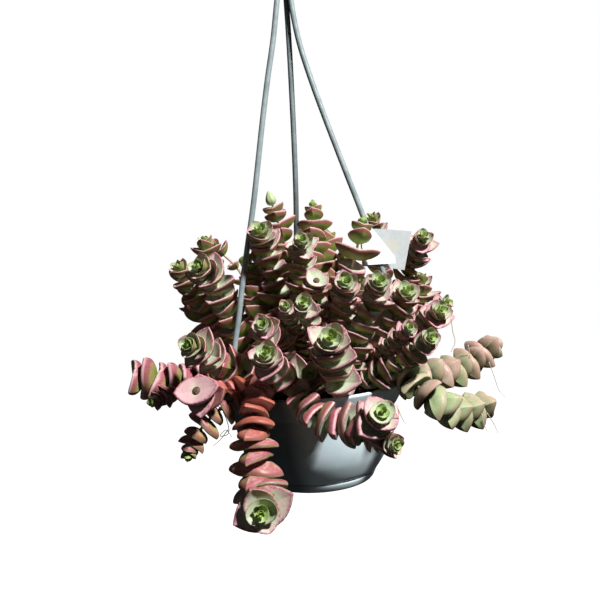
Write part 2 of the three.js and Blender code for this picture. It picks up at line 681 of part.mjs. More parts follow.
// Every pair of a stem, tip first: its frame, azimuth, and the reach and cup of its leaves and waists.
// Young pairs are small and stand up, and the lowest ones stand further apart.
function planPairs(plan, plans) {
  const draw = drawer(1000 + 77 * plan.index);
  const pitch = plan.pitch ?? LEAF_PITCH;
  const grown = plan.grown ?? PAIRS_TO_FULL_SIZE;
  const end = plan.samples[plan.samples.length - 1].length;
  const bare = plan.bare ?? ROOT_LENGTH_BARE;
  const pairs = [];
  let back = plan.cut ? 3 : 0.8;
  const count = plan.pairs ?? MOST_PAIRS;
  for (let place = 0; place < count && back < end - bare; place += 1) {
    const age = Math.min((plan.cut ? place + grown - 1 : place) / grown, 1);
    const isBud = plan.closed && place === 0;
    const share = isBud ? CLOSED_BUD : SMALLEST_PAIR + (1 - SMALLEST_PAIR) * age;
    const ageing = 1 - (1 - (plan.base ?? 1)) * (back / (end - bare));
    const size = plan.leaf * share * ageing;
    const frame = frameAt(plan.samples, end - back);
    const azimuth = plan.turn + 90 * place + 10 * (draw() - 0.5);
    const thickness = plan.thick ?? (plan.fat ? FAT_THICKNESS : LEAF_THICKNESS);
    const thick = Math.max(THINNEST_LEAF, thickness * size);
    const flatCup = plan.fat ? FAT_CUP : FLAT_CUP;
    const openCup = plan.shallow ? SHALLOW_CUP + SHALLOW_YOUNG_CUP * (1 - share)
      : flatCup + YOUNG_CUP * (1 - share);
    const lobes = [];
    for (let corner = 0; corner < 4; corner += 1) {
      const out = outward(frame, azimuth + 90 * corner);
      const beside = outward(frame, azimuth + 90 * corner + 90);
      const rise = isBud ? CLOSED_CUP : openCup;
      const cup = Math.tan(THREE.MathUtils.degToRad(rise + 6 * (draw() - 0.5)));
      if (corner % 2 === 0) {
        const full = size * (0.94 + 0.12 * draw());
        const room = roomFor((s) => leafProbes(frame, out, beside, s * full, cup, thick), plan, plans);
        lobes.push({ out, reach: full * room, cup });
      } else {
        const full = size * LEAF_WAIST;
        const waistProbe = (s) => [pairPoint(frame, out, s * full, beside, 0, 0.5 * s * full * cup)];
        const room = roomFor(waistProbe, plan, plans);
        lobes.push({ out, reach: Math.max(full * room, STEM_RADIUS + 0.4), cup: 0.5 * cup });
      }
    }
    const ageSpread = age < 1 ? YOUNG_PITCH + (1 - YOUNG_PITCH) * age : OLD_SPREAD;
    const spread = plan.even ? 1 : ageSpread;
    const step = Math.max(spread * pitch * Math.min(size + 0.1 * plan.leaf, plan.leaf), thick + 0.8);
    pairs.push({ place, share, size, back, frame, azimuth, thick, lobes, step, isBud });
    back += step;
  }
  return pairs;
}

// Rings of a stem's skin. Each ring is a closed loop of points, counter-clockwise seen from the tip.
function stemRadius(size, plan) {
  return STEM_RADIUS * (0.45 + 0.55 * Math.min(size / plan.leaf, 1)) * (plan.leaf < 10 ? 0.8 : 1);
}

// A square ring round the stem, whose corners follow a pair's azimuth
function stemRing(frame, azimuth, radius, high) {
  return [0, 1, 2, 3].map((corner) => {
    const out = outward(frame, azimuth + 90 * corner);
    return pairPoint(frame, out, radius, out, 0, high);
  });
}

// The rings of a pair: the stem below it where that shows, keel, edge and the floor of the cup
function pairRings(pair, phase, plan) {
  const { frame, thick } = pair;
  const radius = stemRadius(pair.size, plan);
  const lobe = (corner) => pair.lobes[(corner + phase) % 4];
  const azimuth = pair.azimuth + 90 * phase;
  const isYoung = pair.share < YOUNG_SHARE;
  const keel = [];
  const edge = [];
  for (let corner = 0; corner < 4; corner += 1) {
    const here = lobe(corner);
    const next = lobe((corner + 1) % 4);
    const isLeaf = (corner + phase) % 2 === 0;
    const leaf = isLeaf ? here : next;
    const waist = isLeaf ? next : here;
    const lift = EDGE_LIFT * leaf.reach;
    const keelOut = LEAF_KEEL * here.reach;
    const keelHigh = 0.84 * keelOut * here.cup - KEEL_DEPTH * thick;
    keel.push(pairPoint(frame, here.out, keelOut, here.out, 0, keelHigh));
    edge.push(pairPoint(frame, here.out, here.reach, here.out, 0, here.reach * here.cup + lift));
    if (isYoung) continue;
    const wide = SHOULDER_WIDTH * waist.reach;
    const along = LEAF_SHOULDER * leaf.reach;
    const shoulder = 0.84 * along * leaf.cup + wide * waist.cup + lift;
    edge.push(pairPoint(frame, leaf.out, along, waist.out, wide, shoulder));
  }
  const rings = [keel, edge];
  if (!pair.isBud) rings.push(stemRing(frame, azimuth, 1.2 * radius, 0.04 * pair.step));
  const stemShows = plan.open || pair.step > STEM_SHOWS * thick;
  if (stemShows) rings.unshift(stemRing(frame, azimuth, radius, -0.75 * thick - 0.15 * pair.step));
  return rings;
}

// Skin between two rings of four or eight points
function bridge(triangles, low, lowCount, high, highCount) {
  for (let corner = 0; corner < 4; corner += 1) {
    const next = (corner + 1) % 4;
    if (lowCount === 4 && highCount === 4) {
      triangles.push([low + corner, low + next, high + next], [low + corner, high + next, high + corner]);
    } else if (highCount === 8) {
      const before = (2 * corner + 7) % 8;
      triangles.push([low + corner, high + 2 * corner, high + before]);
      triangles.push([low + corner, high + 2 * corner + 1, high + 2 * corner]);
      triangles.push([low + corner, low + next, high + 2 * corner + 1]);
    } else {
      const before = (2 * corner + 7) % 8;
      triangles.push([low + before, low + 2 * corner, high + corner]);
      triangles.push([low + 2 * corner, low + 2 * corner + 1, high + corner]);
      triangles.push([low + 2 * corner + 1, high + next, high + corner]);
    }
  }
}

// One closed skin: the root or the start of a shoot, the bare stem, every pair, and the tip
function skinStem(plan, pairs) {
  const rings = [];
  const across = new THREE.Vector3(1, 0, 0);
  const side = new THREE.Vector3(0, 1, 0);
  const growth = new THREE.Vector3(0, 0, 1);
  const tipAzimuth = plan.turn;
  if (plan.root) {
    for (const height of [ROOT_BOTTOM, SOIL_TOP + 1]) {
      const frame = { across, side, growth, at: new THREE.Vector3(plan.root[0], plan.root[1], height) };
      rings.push(stemRing(frame, tipAzimuth, STEM_RADIUS, 0));
    }
  } else {
    rings.push(stemRing(frameAt(plan.samples, 0.01), tipAzimuth, 0.9, 0));
  }
  const end = plan.samples[plan.samples.length - 1].length;
  const lowest = pairs[pairs.length - 1];
  const bare = end - lowest.back - 1.2 * lowest.thick - 0.2 * lowest.step;
  const bareRadius = stemRadius(plan.leaf, plan);
  const bareSteps = Math.floor(bare / 16);
  for (let i = 1; i <= bareSteps; i += 1) {
    const frame = frameAt(plan.samples, (bare * i) / (bareSteps + 0.5));
    rings.push(stemRing(frame, tipAzimuth, bareRadius, 0));
  }
  for (const pair of [...pairs].reverse()) {
    const phase = (4 - (pair.place % 4)) % 4;
    rings.push(...pairRings(pair, phase, plan));
  }
  const vertices = rings.flat();
  const triangles = [[0, 2, 1], [0, 3, 2]];
  let low = 0;
  for (let i = 1; i < rings.length; i += 1) {
    const high = low + rings[i - 1].length;
    bridge(triangles, low, rings[i - 1].length, high, rings[i].length);
    low = high;
  }
  const tip = frameAt(plan.samples, end - pairs[0].back);
  const budHeight = plan.closed ? CLOSED_HEIGHT * pairs[0].size : 0.5 * pairs[0].size;
  const apex = pairPoint(tip, tip.across, 0, tip.across, 0, plan.cut ? 3.5 : budHeight);
  vertices.push(apex);
  for (let corner = 0; corner < 4; corner += 1) {
    triangles.push([low + corner, low + ((corner + 1) % 4), vertices.length - 1]);
  }
  return geometryFrom(vertices, triangles);
}

function stemMaterial(plan) {
  if (plan.old) return oldLeafMaterial;
  return plan.pale ? paleLeafMaterial : leafMaterial;
}

function buildStems(plans) {
  const meshes = [];
  for (const plan of plans) {
    const geometry = skinStem(plan, planPairs(plan, plans));
    if (!plan.root) {
      const parent = meshes[meshes.length - 1];
      parent.geometry = geometryOf(solidOf(parent.geometry).add(solidOf(geometry)));
    } else {
      meshes.push(named(`stem_${plan.name}`, geometry, stemMaterial(plan)));
    }
  }
  return meshes;
}

// Soil: fills the pot below its collar, with a plain square hole for each stem
function buildSoil(plans) {
  const side = POT_INNER.filter(([, height]) => height > POT_INNER[0][1] && height < SOIL_TOP);
  const inner = [...side, [radiusAt(POT_INNER, SOIL_TOP), SOIL_TOP]];
  const floor = POT_INNER[0][1] + CLEARANCE;
  const outline = [[0, floor], [POT_INNER[0][0] - 2 * CLEARANCE, floor]];
  for (const [radius, height] of inner) outline.push([radius - 2 * CLEARANCE, height]);
  outline.push([0, SOIL_TOP]);
  const points = outline.map(([radius, height]) => new THREE.Vector2(radius, height));
  const lathe = new THREE.LatheGeometry(points, SOIL_SIDES);
  lathe.rotateX(Math.PI / 2);
  let soil = solidOf(lathe);
  const depth = SOIL_TOP - ROOT_BOTTOM + CLEARANCE;
  for (const plan of plans) {
    if (!plan.root) continue;
    const radius = STEM_RADIUS + 1.5 * CLEARANCE;
    const hole = new THREE.CylinderGeometry(radius, radius, 2 * depth, 4, 1, false, Math.PI / 2);
    hole.rotateX(Math.PI / 2);
    hole.rotateZ(THREE.MathUtils.degToRad(plan.turn));
    hole.translate(plan.root[0], plan.root[1], SOIL_TOP);
    soil = soil.subtract(solidOf(hole));
  }
  return named('soil', geometryOf(soil), soilMaterial);
}

// Assembly
const plans = planStems();
const plant = new THREE.Group();
plant.add(buildPot(), buildSoil(plans), buildTag(), buildHook());
for (const which of Object.keys(ARM_AZIMUTHS)) plant.add(buildArm(which));
plant.add(...buildStems(plans));
plant.position.z = -HANG_HEIGHT;

const object = new THREE.Group();
object.add(plant);

export default object;
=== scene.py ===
"""Looks of a potted string of buttons (Crassula perforata) in a hanging pot.

Shapes are worked out in millimetres about the centre of the pot's rim, as in the CAD source, and moved to the
frame, in metres, when their meshes are made.
"""
import json
import math

import bpy
import numpy as np
from mathutils import Matrix, Vector


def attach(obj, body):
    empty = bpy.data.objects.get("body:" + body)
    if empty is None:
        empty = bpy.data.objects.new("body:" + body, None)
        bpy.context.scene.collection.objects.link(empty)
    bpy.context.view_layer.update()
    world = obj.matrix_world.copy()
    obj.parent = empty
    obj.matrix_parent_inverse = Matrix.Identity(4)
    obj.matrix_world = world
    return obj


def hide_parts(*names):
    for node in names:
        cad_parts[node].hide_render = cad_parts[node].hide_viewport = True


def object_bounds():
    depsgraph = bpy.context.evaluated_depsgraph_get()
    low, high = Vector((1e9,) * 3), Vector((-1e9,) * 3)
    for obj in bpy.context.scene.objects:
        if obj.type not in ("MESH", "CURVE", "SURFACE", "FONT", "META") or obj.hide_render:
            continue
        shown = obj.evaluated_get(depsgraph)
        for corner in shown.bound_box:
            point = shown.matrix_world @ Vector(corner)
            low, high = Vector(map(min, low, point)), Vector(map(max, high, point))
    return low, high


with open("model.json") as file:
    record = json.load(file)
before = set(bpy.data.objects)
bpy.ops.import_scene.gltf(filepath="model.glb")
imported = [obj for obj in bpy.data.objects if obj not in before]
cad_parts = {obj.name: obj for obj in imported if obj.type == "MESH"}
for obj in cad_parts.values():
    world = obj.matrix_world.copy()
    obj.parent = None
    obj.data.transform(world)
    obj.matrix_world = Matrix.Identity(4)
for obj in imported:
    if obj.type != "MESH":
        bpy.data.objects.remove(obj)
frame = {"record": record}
cad_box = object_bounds()

HANG_HEIGHT = 330.0
MM = 0.001

# Pot, soil and hanger
RIM_RADIUS = 71.0
RIM_THICKNESS = 2.6
BAND_HEIGHT = 17.0
BAND_LOW_RADIUS = 62.0
POT_HEIGHT = 73.0
FOOT_RADIUS = 40.0
FLOOR_THICKNESS = 2.5
PLATE_RADIUS = 36.0
DRAIN_RADIUS = 3.5
DRAIN_DISTANCE = 25.0
# The side of the pot painted pale as if lit by the key light, the rest painted dark as painted shade
PAINTED_LIGHT_AZIMUTH = math.radians(-45)
SOIL_TOP = -13.0
PATH_START = SOIL_TOP + 1.5
ROOT_BOTTOM = -21.0
ARM_RADIUS = 2.0
ARM_AZIMUTHS = {"back": 100, "left": 210, "right": 340}
TAG_MIDDLE = np.array([54.0, -18.3, 95.0])

# Stems and leaves, as in the CAD source
STEM_RADIUS = 1.5
BARE_LENGTH = 12
LEAF_PITCH = 0.43
OLD_SPREAD = 1.3
MOST_PAIRS = 8
BACK_PAIRS = 5
YOUNG_PITCH = 0.6
LEAF_THICKNESS = 0.34
FAT_THICKNESS = 0.40
THINNEST_LEAF = 1.0
LEAF_WAIST = 0.6
LEAF_ROOM = 1.0
SMALLEST_PAIR = 0.28
CLOSED_BUD = 0.36
CLOSED_CUP = 42
CLOSED_HEIGHT = 2.3
PAIRS_TO_FULL_SIZE = 4
FLAT_CUP = 24
FAT_CUP = 8
SHALLOW_CUP = 13
YOUNG_CUP = 40
SHALLOW_YOUNG_CUP = 16


def planted(name, root, leaf, turn, through, **more):
    """A stem: its root, its leaves' length, the turn of its last pair, its path, and what sets it apart."""
    return dict(name=name, root=root, leaf=leaf, turn=turn, through=through, **more)


STEMS = [
    planted("crown_left", (-6, 4), 14, 90, [(-7, 5, 37), (-10, 6, 75), (-14, 8, 100), (-17, 9, 116),
        (-21, 8, 132)], pitch=0.56, pairs=11, grown=2, even=True, shallow=True, closed=True),
    planted("crown_middle", (6, -6), 14, 84, [(7, -12, 38), (7, -20, 72), (6, -14, 91), (9, -6, 112),
        (9, -2, 129)], pitch=0.62, pairs=11, grown=3, even=True, shallow=True),
    planted("crown_right", (20, -16), 16.5, 90, [(26, -24, 35), (29, -28, 70), (34, -33, 87), (38, -32, 100),
        (42, -28, 114)], pitch=0.74, pairs=9, grown=3, even=True, shallow=True),
    planted("crown_back_right", (38, 18), 13, 30, [(60, 26, 38), (59, 28, 77), (57, 26, 97), (54, 20, 117)],
        pairs=7, grown=4),
    planted("upper_right", (42, 2), 13, 20, [(56, 8, 25), (68, 6, 55), (78, 4, 77), (84, -5, 92),
        (85, -11, 96), (86, -16, 101)]),
    planted("upper_left", (-14, -9), 17, 40, [(-19, -12, 36), (-22, -18, 70), (-25, -22, 90), (-28, -27, 102),
        (-29, -36, 112)]),
    planted("upper_middle", (-3, -22), 13, 30, [(-3, -30, 41), (-3, -33, 73), (-2, -40, 96), (-1, -46, 100),
        (-1, -52, 104)]),
    planted("left_big", (-32, -14), 17, 60, [(-44, -10, 27), (-57, -14, 54), (-64, -25, 79), (-68, -33, 85),
        (-72, -40, 90)]),
    planted("left_upright", (-30, 5), 12, 70, [(-52, 12, 39), (-63, 8, 71), (-70, 4, 92), (-72, 2, 108)],
        pairs=7, grown=3),
    planted("left_sparse", (-24, 20), 10, 20, [(-40, 22, 44), (-47, 23, 76), (-53, 22, 88), (-61, 20, 97),
        (-68, 20, 106)], pitch=1.1, grown=2, bare=70),
    planted("left_side", (-44, -2), 14, 40, [(-58, 4, 29), (-75, 0, 61), (-85, -4, 78), (-91, -10, 90)],
        pairs=7),
    planted("left_low", (-34, -30), 15, 45, [(-43, -49, 15), (-60, -58, 25), (-68, -71, 36), (-72, -79, 40),
        (-76, -86, 43)]),
    planted("left_cut", (-37, -38), 16.5, -8, [(-46, -54, 7), (-60, -68, 8), (-68, -82, 9), (-71, -89, 12),
        (-73, -95, 16)], pitch=0.36, grown=12, base=0.7, bare=20, cut=True, fat=True),
    planted("left_long", (-49, -20), 19, 88, [(-59, -22, 8), (-69, -28, 11), (-82, -35, 10), (-99.5, -39, 11),
        (-111, -40.5, 14.5), (-122, -42, 17)], pitch=0.37, bare=30, cut=True, fat=True,
        shoot=dict(start=(-84, -35, 10), leaf=9, turn=20, through=[(-93, -46, 8), (-101, -54, 5),
        (-107, -63, 4)])),
    planted("left_trailing", (-31, -45), 13, 10, [(-40, -62, 7), (-54, -71, 3), (-67, -74, -6),
        (-76, -76, -15), (-81, -78, -23), (-83, -82, -29)], pitch=0.5, grown=4, bare=26, fat=True),
    planted("front_trailing", (-25, -48), 22, 80, [(-34, -62, 6), (-38, -78, 4), (-39, -88, -7),
        (-40, -90, -19), (-39, -92, -31), (-39, -93, -44), (-36, -105, -56), (-36, -114, -55),
        (-36, -122, -54)], thick=0.3, pitch=0.28, pairs=15, grown=3, base=0.5, bare=16, fat=True),
    planted("front_square", (-14, -38), 12, 0, [(-18, -46, 34), (-27, -64, 46), (-29, -70, 49),
        (-30, -76, 52)], grown=4),
    planted("front_low", (-6, -46), 15.5, 70, [(-8, -56, 9), (-16, -70, 16), (-24, -81, 23.5), (-27, -88, 30),
        (-28, -96, 36)]),
    planted("front_stub", (5, -26), 13, -45, [(5, -30, 30), (5, -36, 48), (6, -40, 62), (6, -44, 71),
        (7, -50, 77)], pairs=6, cut=True),
    planted("front_small", (-4, -32), 9, 20, [(-4, -41, 35), (-11, -48, 51), (-14, -54, 56), (-14, -58, 59),
        (-15, -62, 62)], pairs=7, grown=4),
    planted("front_short_left", (-22, -36), 12, 15, [(-24, -42, 4), (-27, -52, 14), (-29, -62, 19)], pairs=6,
        grown=3),
    planted("front_short_right", (6, -48), 12, 50, [(4, -52, 2), (0, -60, 11), (-2, -70, 17)], pairs=6,
        grown=3),
    planted("front_middle", (8, -36), 13, 60, [(8, -40, 28), (-2, -58, 56), (-3, -65, 60), (-3, -72, 64)]),
    planted("front_big", (18, -50), 18, 60, [(18, -64, 5), (16, -75, 11), (14, -82, 24), (12, -88, 36),
        (12, -98, 43)], pitch=0.34),
    planted("front_strand", (-14, -54), 19, 75, [(-12, -66, 7), (-8, -78, 1), (3, -86, -9), (14, -90, -12),
        (22, -94, -13), (30, -99, -14), (36, -106, -9), (38, -112, -4), (39, -118, 0)], pitch=0.34, pairs=11,
        grown=3, base=0.6, bare=16, fat=True, shoot=dict(start=(22, -94, -12), leaf=11, turn=30, grown=4,
        bare=8, through=[(30, -94, -19), (39, -98, -22), (47, -111, -22)])),
    planted("right_rosette", (44, -27), 14, 20, [(54, -32, 15), (69, -40, 31), (81, -50, 44), (84, -56, 48),
        (87, -62, 52)]),
    planted("right_star", (54, -8), 12, 50, [(70, -8, 22), (87, -10, 39), (92, -16, 46), (95, -19, 50),
        (99, -22, 53)], grown=4),
    planted("right_low", (30, -44), 14, 30, [(35, -50, 3), (51, -58, 15), (69, -67, 30), (73, -74, 34),
        (76, -80, 37)]),
    planted("right_small", (38, -35), 9, 30, [(48, -48, 22), (59, -62, 36), (63, -67, 40), (64, -72, 42),
        (64, -76, 44)], pairs=7, grown=4),
    planted("right_inner", (24, -34), 15, 45, [(26, -40, 11), (33, -50, 38), (45, -57, 64), (46, -63, 69),
        (47, -70, 74)]),
    planted("right_hidden", (32, -2), 14, 0, [(41, -2, 27), (40, -10, 51), (40, -18, 70)], pairs=5),
    planted("right_strand_upper", (51, -17), 15, 48, [(60, -29, 5), (66, -37, 8), (75, -37, 4), (86, -30, 4),
        (97, -20, 2), (109, -10, 3), (121, 0, 6), (131, 8, 11), (142, 15, 14)], pitch=0.42, pairs=12, grown=3,
        bare=24, pale=True, fat=True),
    planted("right_strand_lower", (42, -34), 15, 40, [(51, -42, 8), (59, -51, 10), (68, -60, 3),
        (77, -64, -5), (85, -59, -12), (92, -50, -19), (100, -42, -22), (108, -34, -23), (116, -26, -24),
        (126, -18, -23)], pitch=0.42, pairs=11, grown=3, bare=32, pale=True, fat=True),
    planted("left_inner", (-24, -25), 15, 60, [(-31, -22, 28), (-34, -17, 51), (-37, -14, 71),
        (-37, -14, 84)], pairs=5),
    planted("right_broad", (50, 12), 15, 10, [(73, 14, 31), (82, 12, 46), (86, 10, 59), (87, 8, 69)],
        pairs=6),
    planted("right_pink", (40, -14), 17, 35, [(49, -22, 22), (56, -31, 40), (65, -37, 56), (68, -44, 64)]),
    planted("middle_inner", (14, -30), 14, 20, [(18, -40, 31), (24, -46, 58), (26, -55, 70), (26, -63, 75)]),
]

BACK_ROWS = [
    dict(count=7, first=24, last=162, seed=21, lean=0.0,
         root_out=48, bend_out=68, bend_height=27, tip_out=92, tip_height=62),
    dict(count=7, first=30, last=150, seed=119, lean=0.22,
         root_out=26, bend_out=36, bend_height=48, tip_out=50, tip_height=106),
]


# Paths and draws, step for step as in the CAD source

DRAW_FACTOR = 16807
DRAW_RANGE = 2 ** 31 - 1
PATH_STEPS = 48
TANGENT_STEP = 0.002


class Drawer:
    """A repeatable draw between 0 and 1."""

    def __init__(self, seed):
        self.state = seed

    def __call__(self):
        self.state = self.state * DRAW_FACTOR % DRAW_RANGE
        return self.state / DRAW_RANGE


def around(azimuth, out, height):
    angle = math.radians(azimuth)
    return np.array([out * math.cos(angle), out * math.sin(angle), height])


def unit(v):
    return v / np.linalg.norm(v)


def curve_point(points, t):
    """A point of a Catmull-Rom curve of tension 0.5 through the points, its ends mirrored."""
    last = len(points) - 1
    place = t * last
    i = min(int(place), last - 1)
    weight = place - i
    p1, p2 = points[i], points[i + 1]
    p0 = points[i - 1] if i > 0 else 2 * points[0] - points[1]
    p3 = points[i + 2] if i + 2 <= last else 2 * points[last] - points[last - 1]
    t0, t1 = 0.5 * (p2 - p0), 0.5 * (p3 - p1)
    c2 = -3 * p1 + 3 * p2 - 2 * t0 - t1
    c3 = 2 * p1 - 2 * p2 + t0 + t1
    return p1 + weight * (t0 + weight * (c2 + weight * c3))


def curve(points, steps):
    return [curve_point(points, i / steps) for i in range(steps + 1)]


def sample_path(points):
    """Samples of a stem's path: place, growth direction, a direction across it, and length so far."""
    across = np.array([1.0, 0.0, 0.0])
    samples = []
    length = 0.0
    for share in np.arange(PATH_STEPS + 1) / PATH_STEPS:
        at = curve_point(points, share)
        before = curve_point(points, max(share - TANGENT_STEP, 0))
        after = curve_point(points, min(share + TANGENT_STEP, 1))
        growth = unit(after - before)
        across = unit(across - growth * across.dot(growth))
        if samples:
            length += np.linalg.norm(at - samples[-1][0])
        samples.append((at, growth, across, length))
    return samples


class Frame:
    """Where a stem is, which way it grows, and two directions across it."""

    def __init__(self, at, growth, across):
        self.at, self.growth, self.across = at, growth, across
        self.side = np.cross(growth, across)

    def outward(self, degrees):
        angle = math.radians(degrees)
        return self.across * math.cos(angle) + self.side * math.sin(angle)

    def point(self, first, out, second, sideways, high):
        return self.at + first * out + second * sideways + self.growth * high


def frame_at(samples, length):
    i = 1
    while i < len(samples) - 1 and samples[i][3] < length:
        i += 1
    low, high = samples[i - 1], samples[i]
    share = (length - low[3]) / (high[3] - low[3])
    growth = unit(low[1] * (1 - share) + high[1] * share)
    across = low[2] * (1 - share) + high[2] * share
    across = unit(across - growth * across.dot(growth))
    return Frame(low[0] * (1 - share) + high[0] * share, growth, across)


def back_stems():
    """The drawn stems behind the ones of the table."""
    stems = []
    for row in BACK_ROWS:
        draw = Drawer(row["seed"])
        for i in range(row["count"]):
            azimuth = row["first"] + (row["last"] - row["first"]) * i / (row["count"] - 1)
            reach = 0.9 + 0.2 * draw()
            swing = azimuth + 8 * (draw() - 0.5)
            tall = row["tip_height"] * reach * (1 - row["lean"] * abs(math.cos(math.radians(azimuth))))
            root = around(azimuth, row["root_out"], 0)
            bend = around(swing, row["bend_out"], row["bend_height"])
            rise = around(swing, (row["bend_out"] + row["tip_out"]) / 2 + 2, (row["bend_height"] + tall) / 2)
            tip = around(swing, row["tip_out"] * reach, tall)
            stems.append(planted(f"back_{len(stems) + 1:02d}", root[:2], 15 + 4 * draw(), 90 * draw(),
                                 [bend, rise, tip], pairs=BACK_PAIRS))
    return stems


def plan_stems():
    """Every stem and side shoot with the samples of its path."""
    plans = []

    def add(stem, start):
        samples = sample_path([np.array(p, float) for p in [start, *stem["through"]]])
        places = np.array([sample[0] for sample in samples])
        plans.append(dict(stem, index=len(plans), samples=samples, places=places))

    for stem in STEMS + back_stems():
        add(stem, (*stem["root"], PATH_START))
        if "shoot" in stem:
            add(dict(stem["shoot"], name=stem["name"]), stem["shoot"]["start"])
    return plans


# Room for leaves: nearer to their own stem than to any other, and clear of soil, pot, arms and tag

# Profiles and paths hold the distance from the pot's axis and the height
POT_OUTER = [(FOOT_RADIUS, -POT_HEIGHT), (42.4, 2 - POT_HEIGHT), (44, -67), (48.8, -60), (54.4, -50),
             (60.3, -BAND_HEIGHT - 0.4), (BAND_LOW_RADIUS, -BAND_HEIGHT), (RIM_RADIUS, -1),
             (RIM_RADIUS - 0.6, 0)]
POT_INNER = [(40.6, FLOOR_THICKNESS - POT_HEIGHT), (51, -51), (58, -BAND_HEIGHT - 2), (60, 1.4 - BAND_HEIGHT),
             (RIM_RADIUS - RIM_THICKNESS, 0)]
ARM_PATHS = {
    "left": [(5, 293), (5, 288), (8.3, 275), (13.7, 247), (20.4, 219), (27.3, 187), (37.8, 135), (44.4, 107),
             (51, 79), (56.7, 51), (60.8, 34), (64.4, 13), (64.9, -1)],
    "back": [(5, 293), (5, 288), (3.4, 276), (3.6, 240), (8, 190), (14, 150), (22, 120), (38, 76), (56, 30),
             (64.6, 8), (64.9, -1)],
    "right": [(5, 293), (5, 288), (2.9, 276), (6.7, 247), (14.2, 218), (23.5, 188), (36, 150), (46, 120),
              (58.3, 80), (64.6, 56), (67.2, 35), (66.8, 12), (64.9, -1)],
}


def arm_points(which, steps):
    points = [around(ARM_AZIMUTHS[which], out, height) for out, height in ARM_PATHS[which]]
    return curve(points, steps)


def radius_at(profile, height):
    radii, heights = zip(*profile)
    return float(np.interp(height, heights, radii))


ARM_PLACES = np.array([p for which in ARM_AZIMUTHS for p in arm_points(which, 90)])
PLANS = plan_stems()
ALL_PLACES = np.concatenate([plan["places"] for plan in PLANS])
PLACE_NAME = np.repeat([plan["name"] for plan in PLANS], PATH_STEPS + 1)
for plan in PLANS:
    plan["others"] = ALL_PLACES[PLACE_NAME != plan["name"]]

# Clearances of the leaves
POT_GAP = 1.2
ARM_GAP = 2.2
TAG_GAP = 4.2
TAG_SLOPE = 0.11
TAG_REACH = (-14, 25)
TAG_RISE = (-18, 17)


def clear_of_holder(point):
    x, y, z = point
    out = math.hypot(x, y)
    if -POT_HEIGHT - 1 < z < POT_GAP:
        outside = out > radius_at(POT_OUTER, z) + POT_GAP
        inside = out < radius_at(POT_INNER, z) - POT_GAP and z > SOIL_TOP + 1
        if not outside and not inside:
            return False
    tag_x, tag_y, tag_z = point - TAG_MIDDLE
    at_tag = TAG_REACH[0] < tag_x < TAG_REACH[1] and TAG_RISE[0] < tag_z < TAG_RISE[1]
    if at_tag and abs(tag_y - TAG_SLOPE * tag_z) <= TAG_GAP:
        return False
    return np.sqrt(((ARM_PLACES - point) ** 2).sum(1).min()) > ARM_RADIUS + ARM_GAP


def is_free(point, plan, may_crowd):
    if not may_crowd:
        others = ((plan["others"] - point) ** 2).sum(1).min()
        own = ((plan["places"] - point) ** 2).sum(1).min()
        if math.sqrt(others) < math.sqrt(own) + LEAF_ROOM:
            return False
    return clear_of_holder(point)


ROOM_STEP = 0.1
LEAST_ROOM = 0.25
SQUEEZED_ROOM = 0.18


def room_for(lobe_points, plan, may_crowd):
    """The largest share of a lobe's reach at which all its points are free."""
    share = 1.0
    while share > LEAST_ROOM:
        if all(is_free(point, plan, may_crowd) for point in lobe_points(share)):
            return share
        share -= ROOM_STEP
    return SQUEEZED_ROOM


# Where a leaf is tested: shares of its reach along and across it, and how many thicknesses lower
PROBES = [(1, 0, 0), (0.8, 0, 0), (0.85, 0.26, 0), (0.85, -0.26, 0), (0.6, 0.52, 0), (0.6, -0.52, 0),
          (0.3, 0.6, 0), (0.3, -0.6, 0), (0.5, 0.25, 0), (0.5, -0.25, 0), (0.3, 0, 0), (0.5, 0, 1)]
# How many more pairs a stem may have than in the solids
MORE_PAIRS = 8
# How far the first pair is from the end of a cut stem and of a whole one
CUT_BACK = 3
TIP_BACK = 0.8
LEAST_WAIST = STEM_RADIUS + 0.4


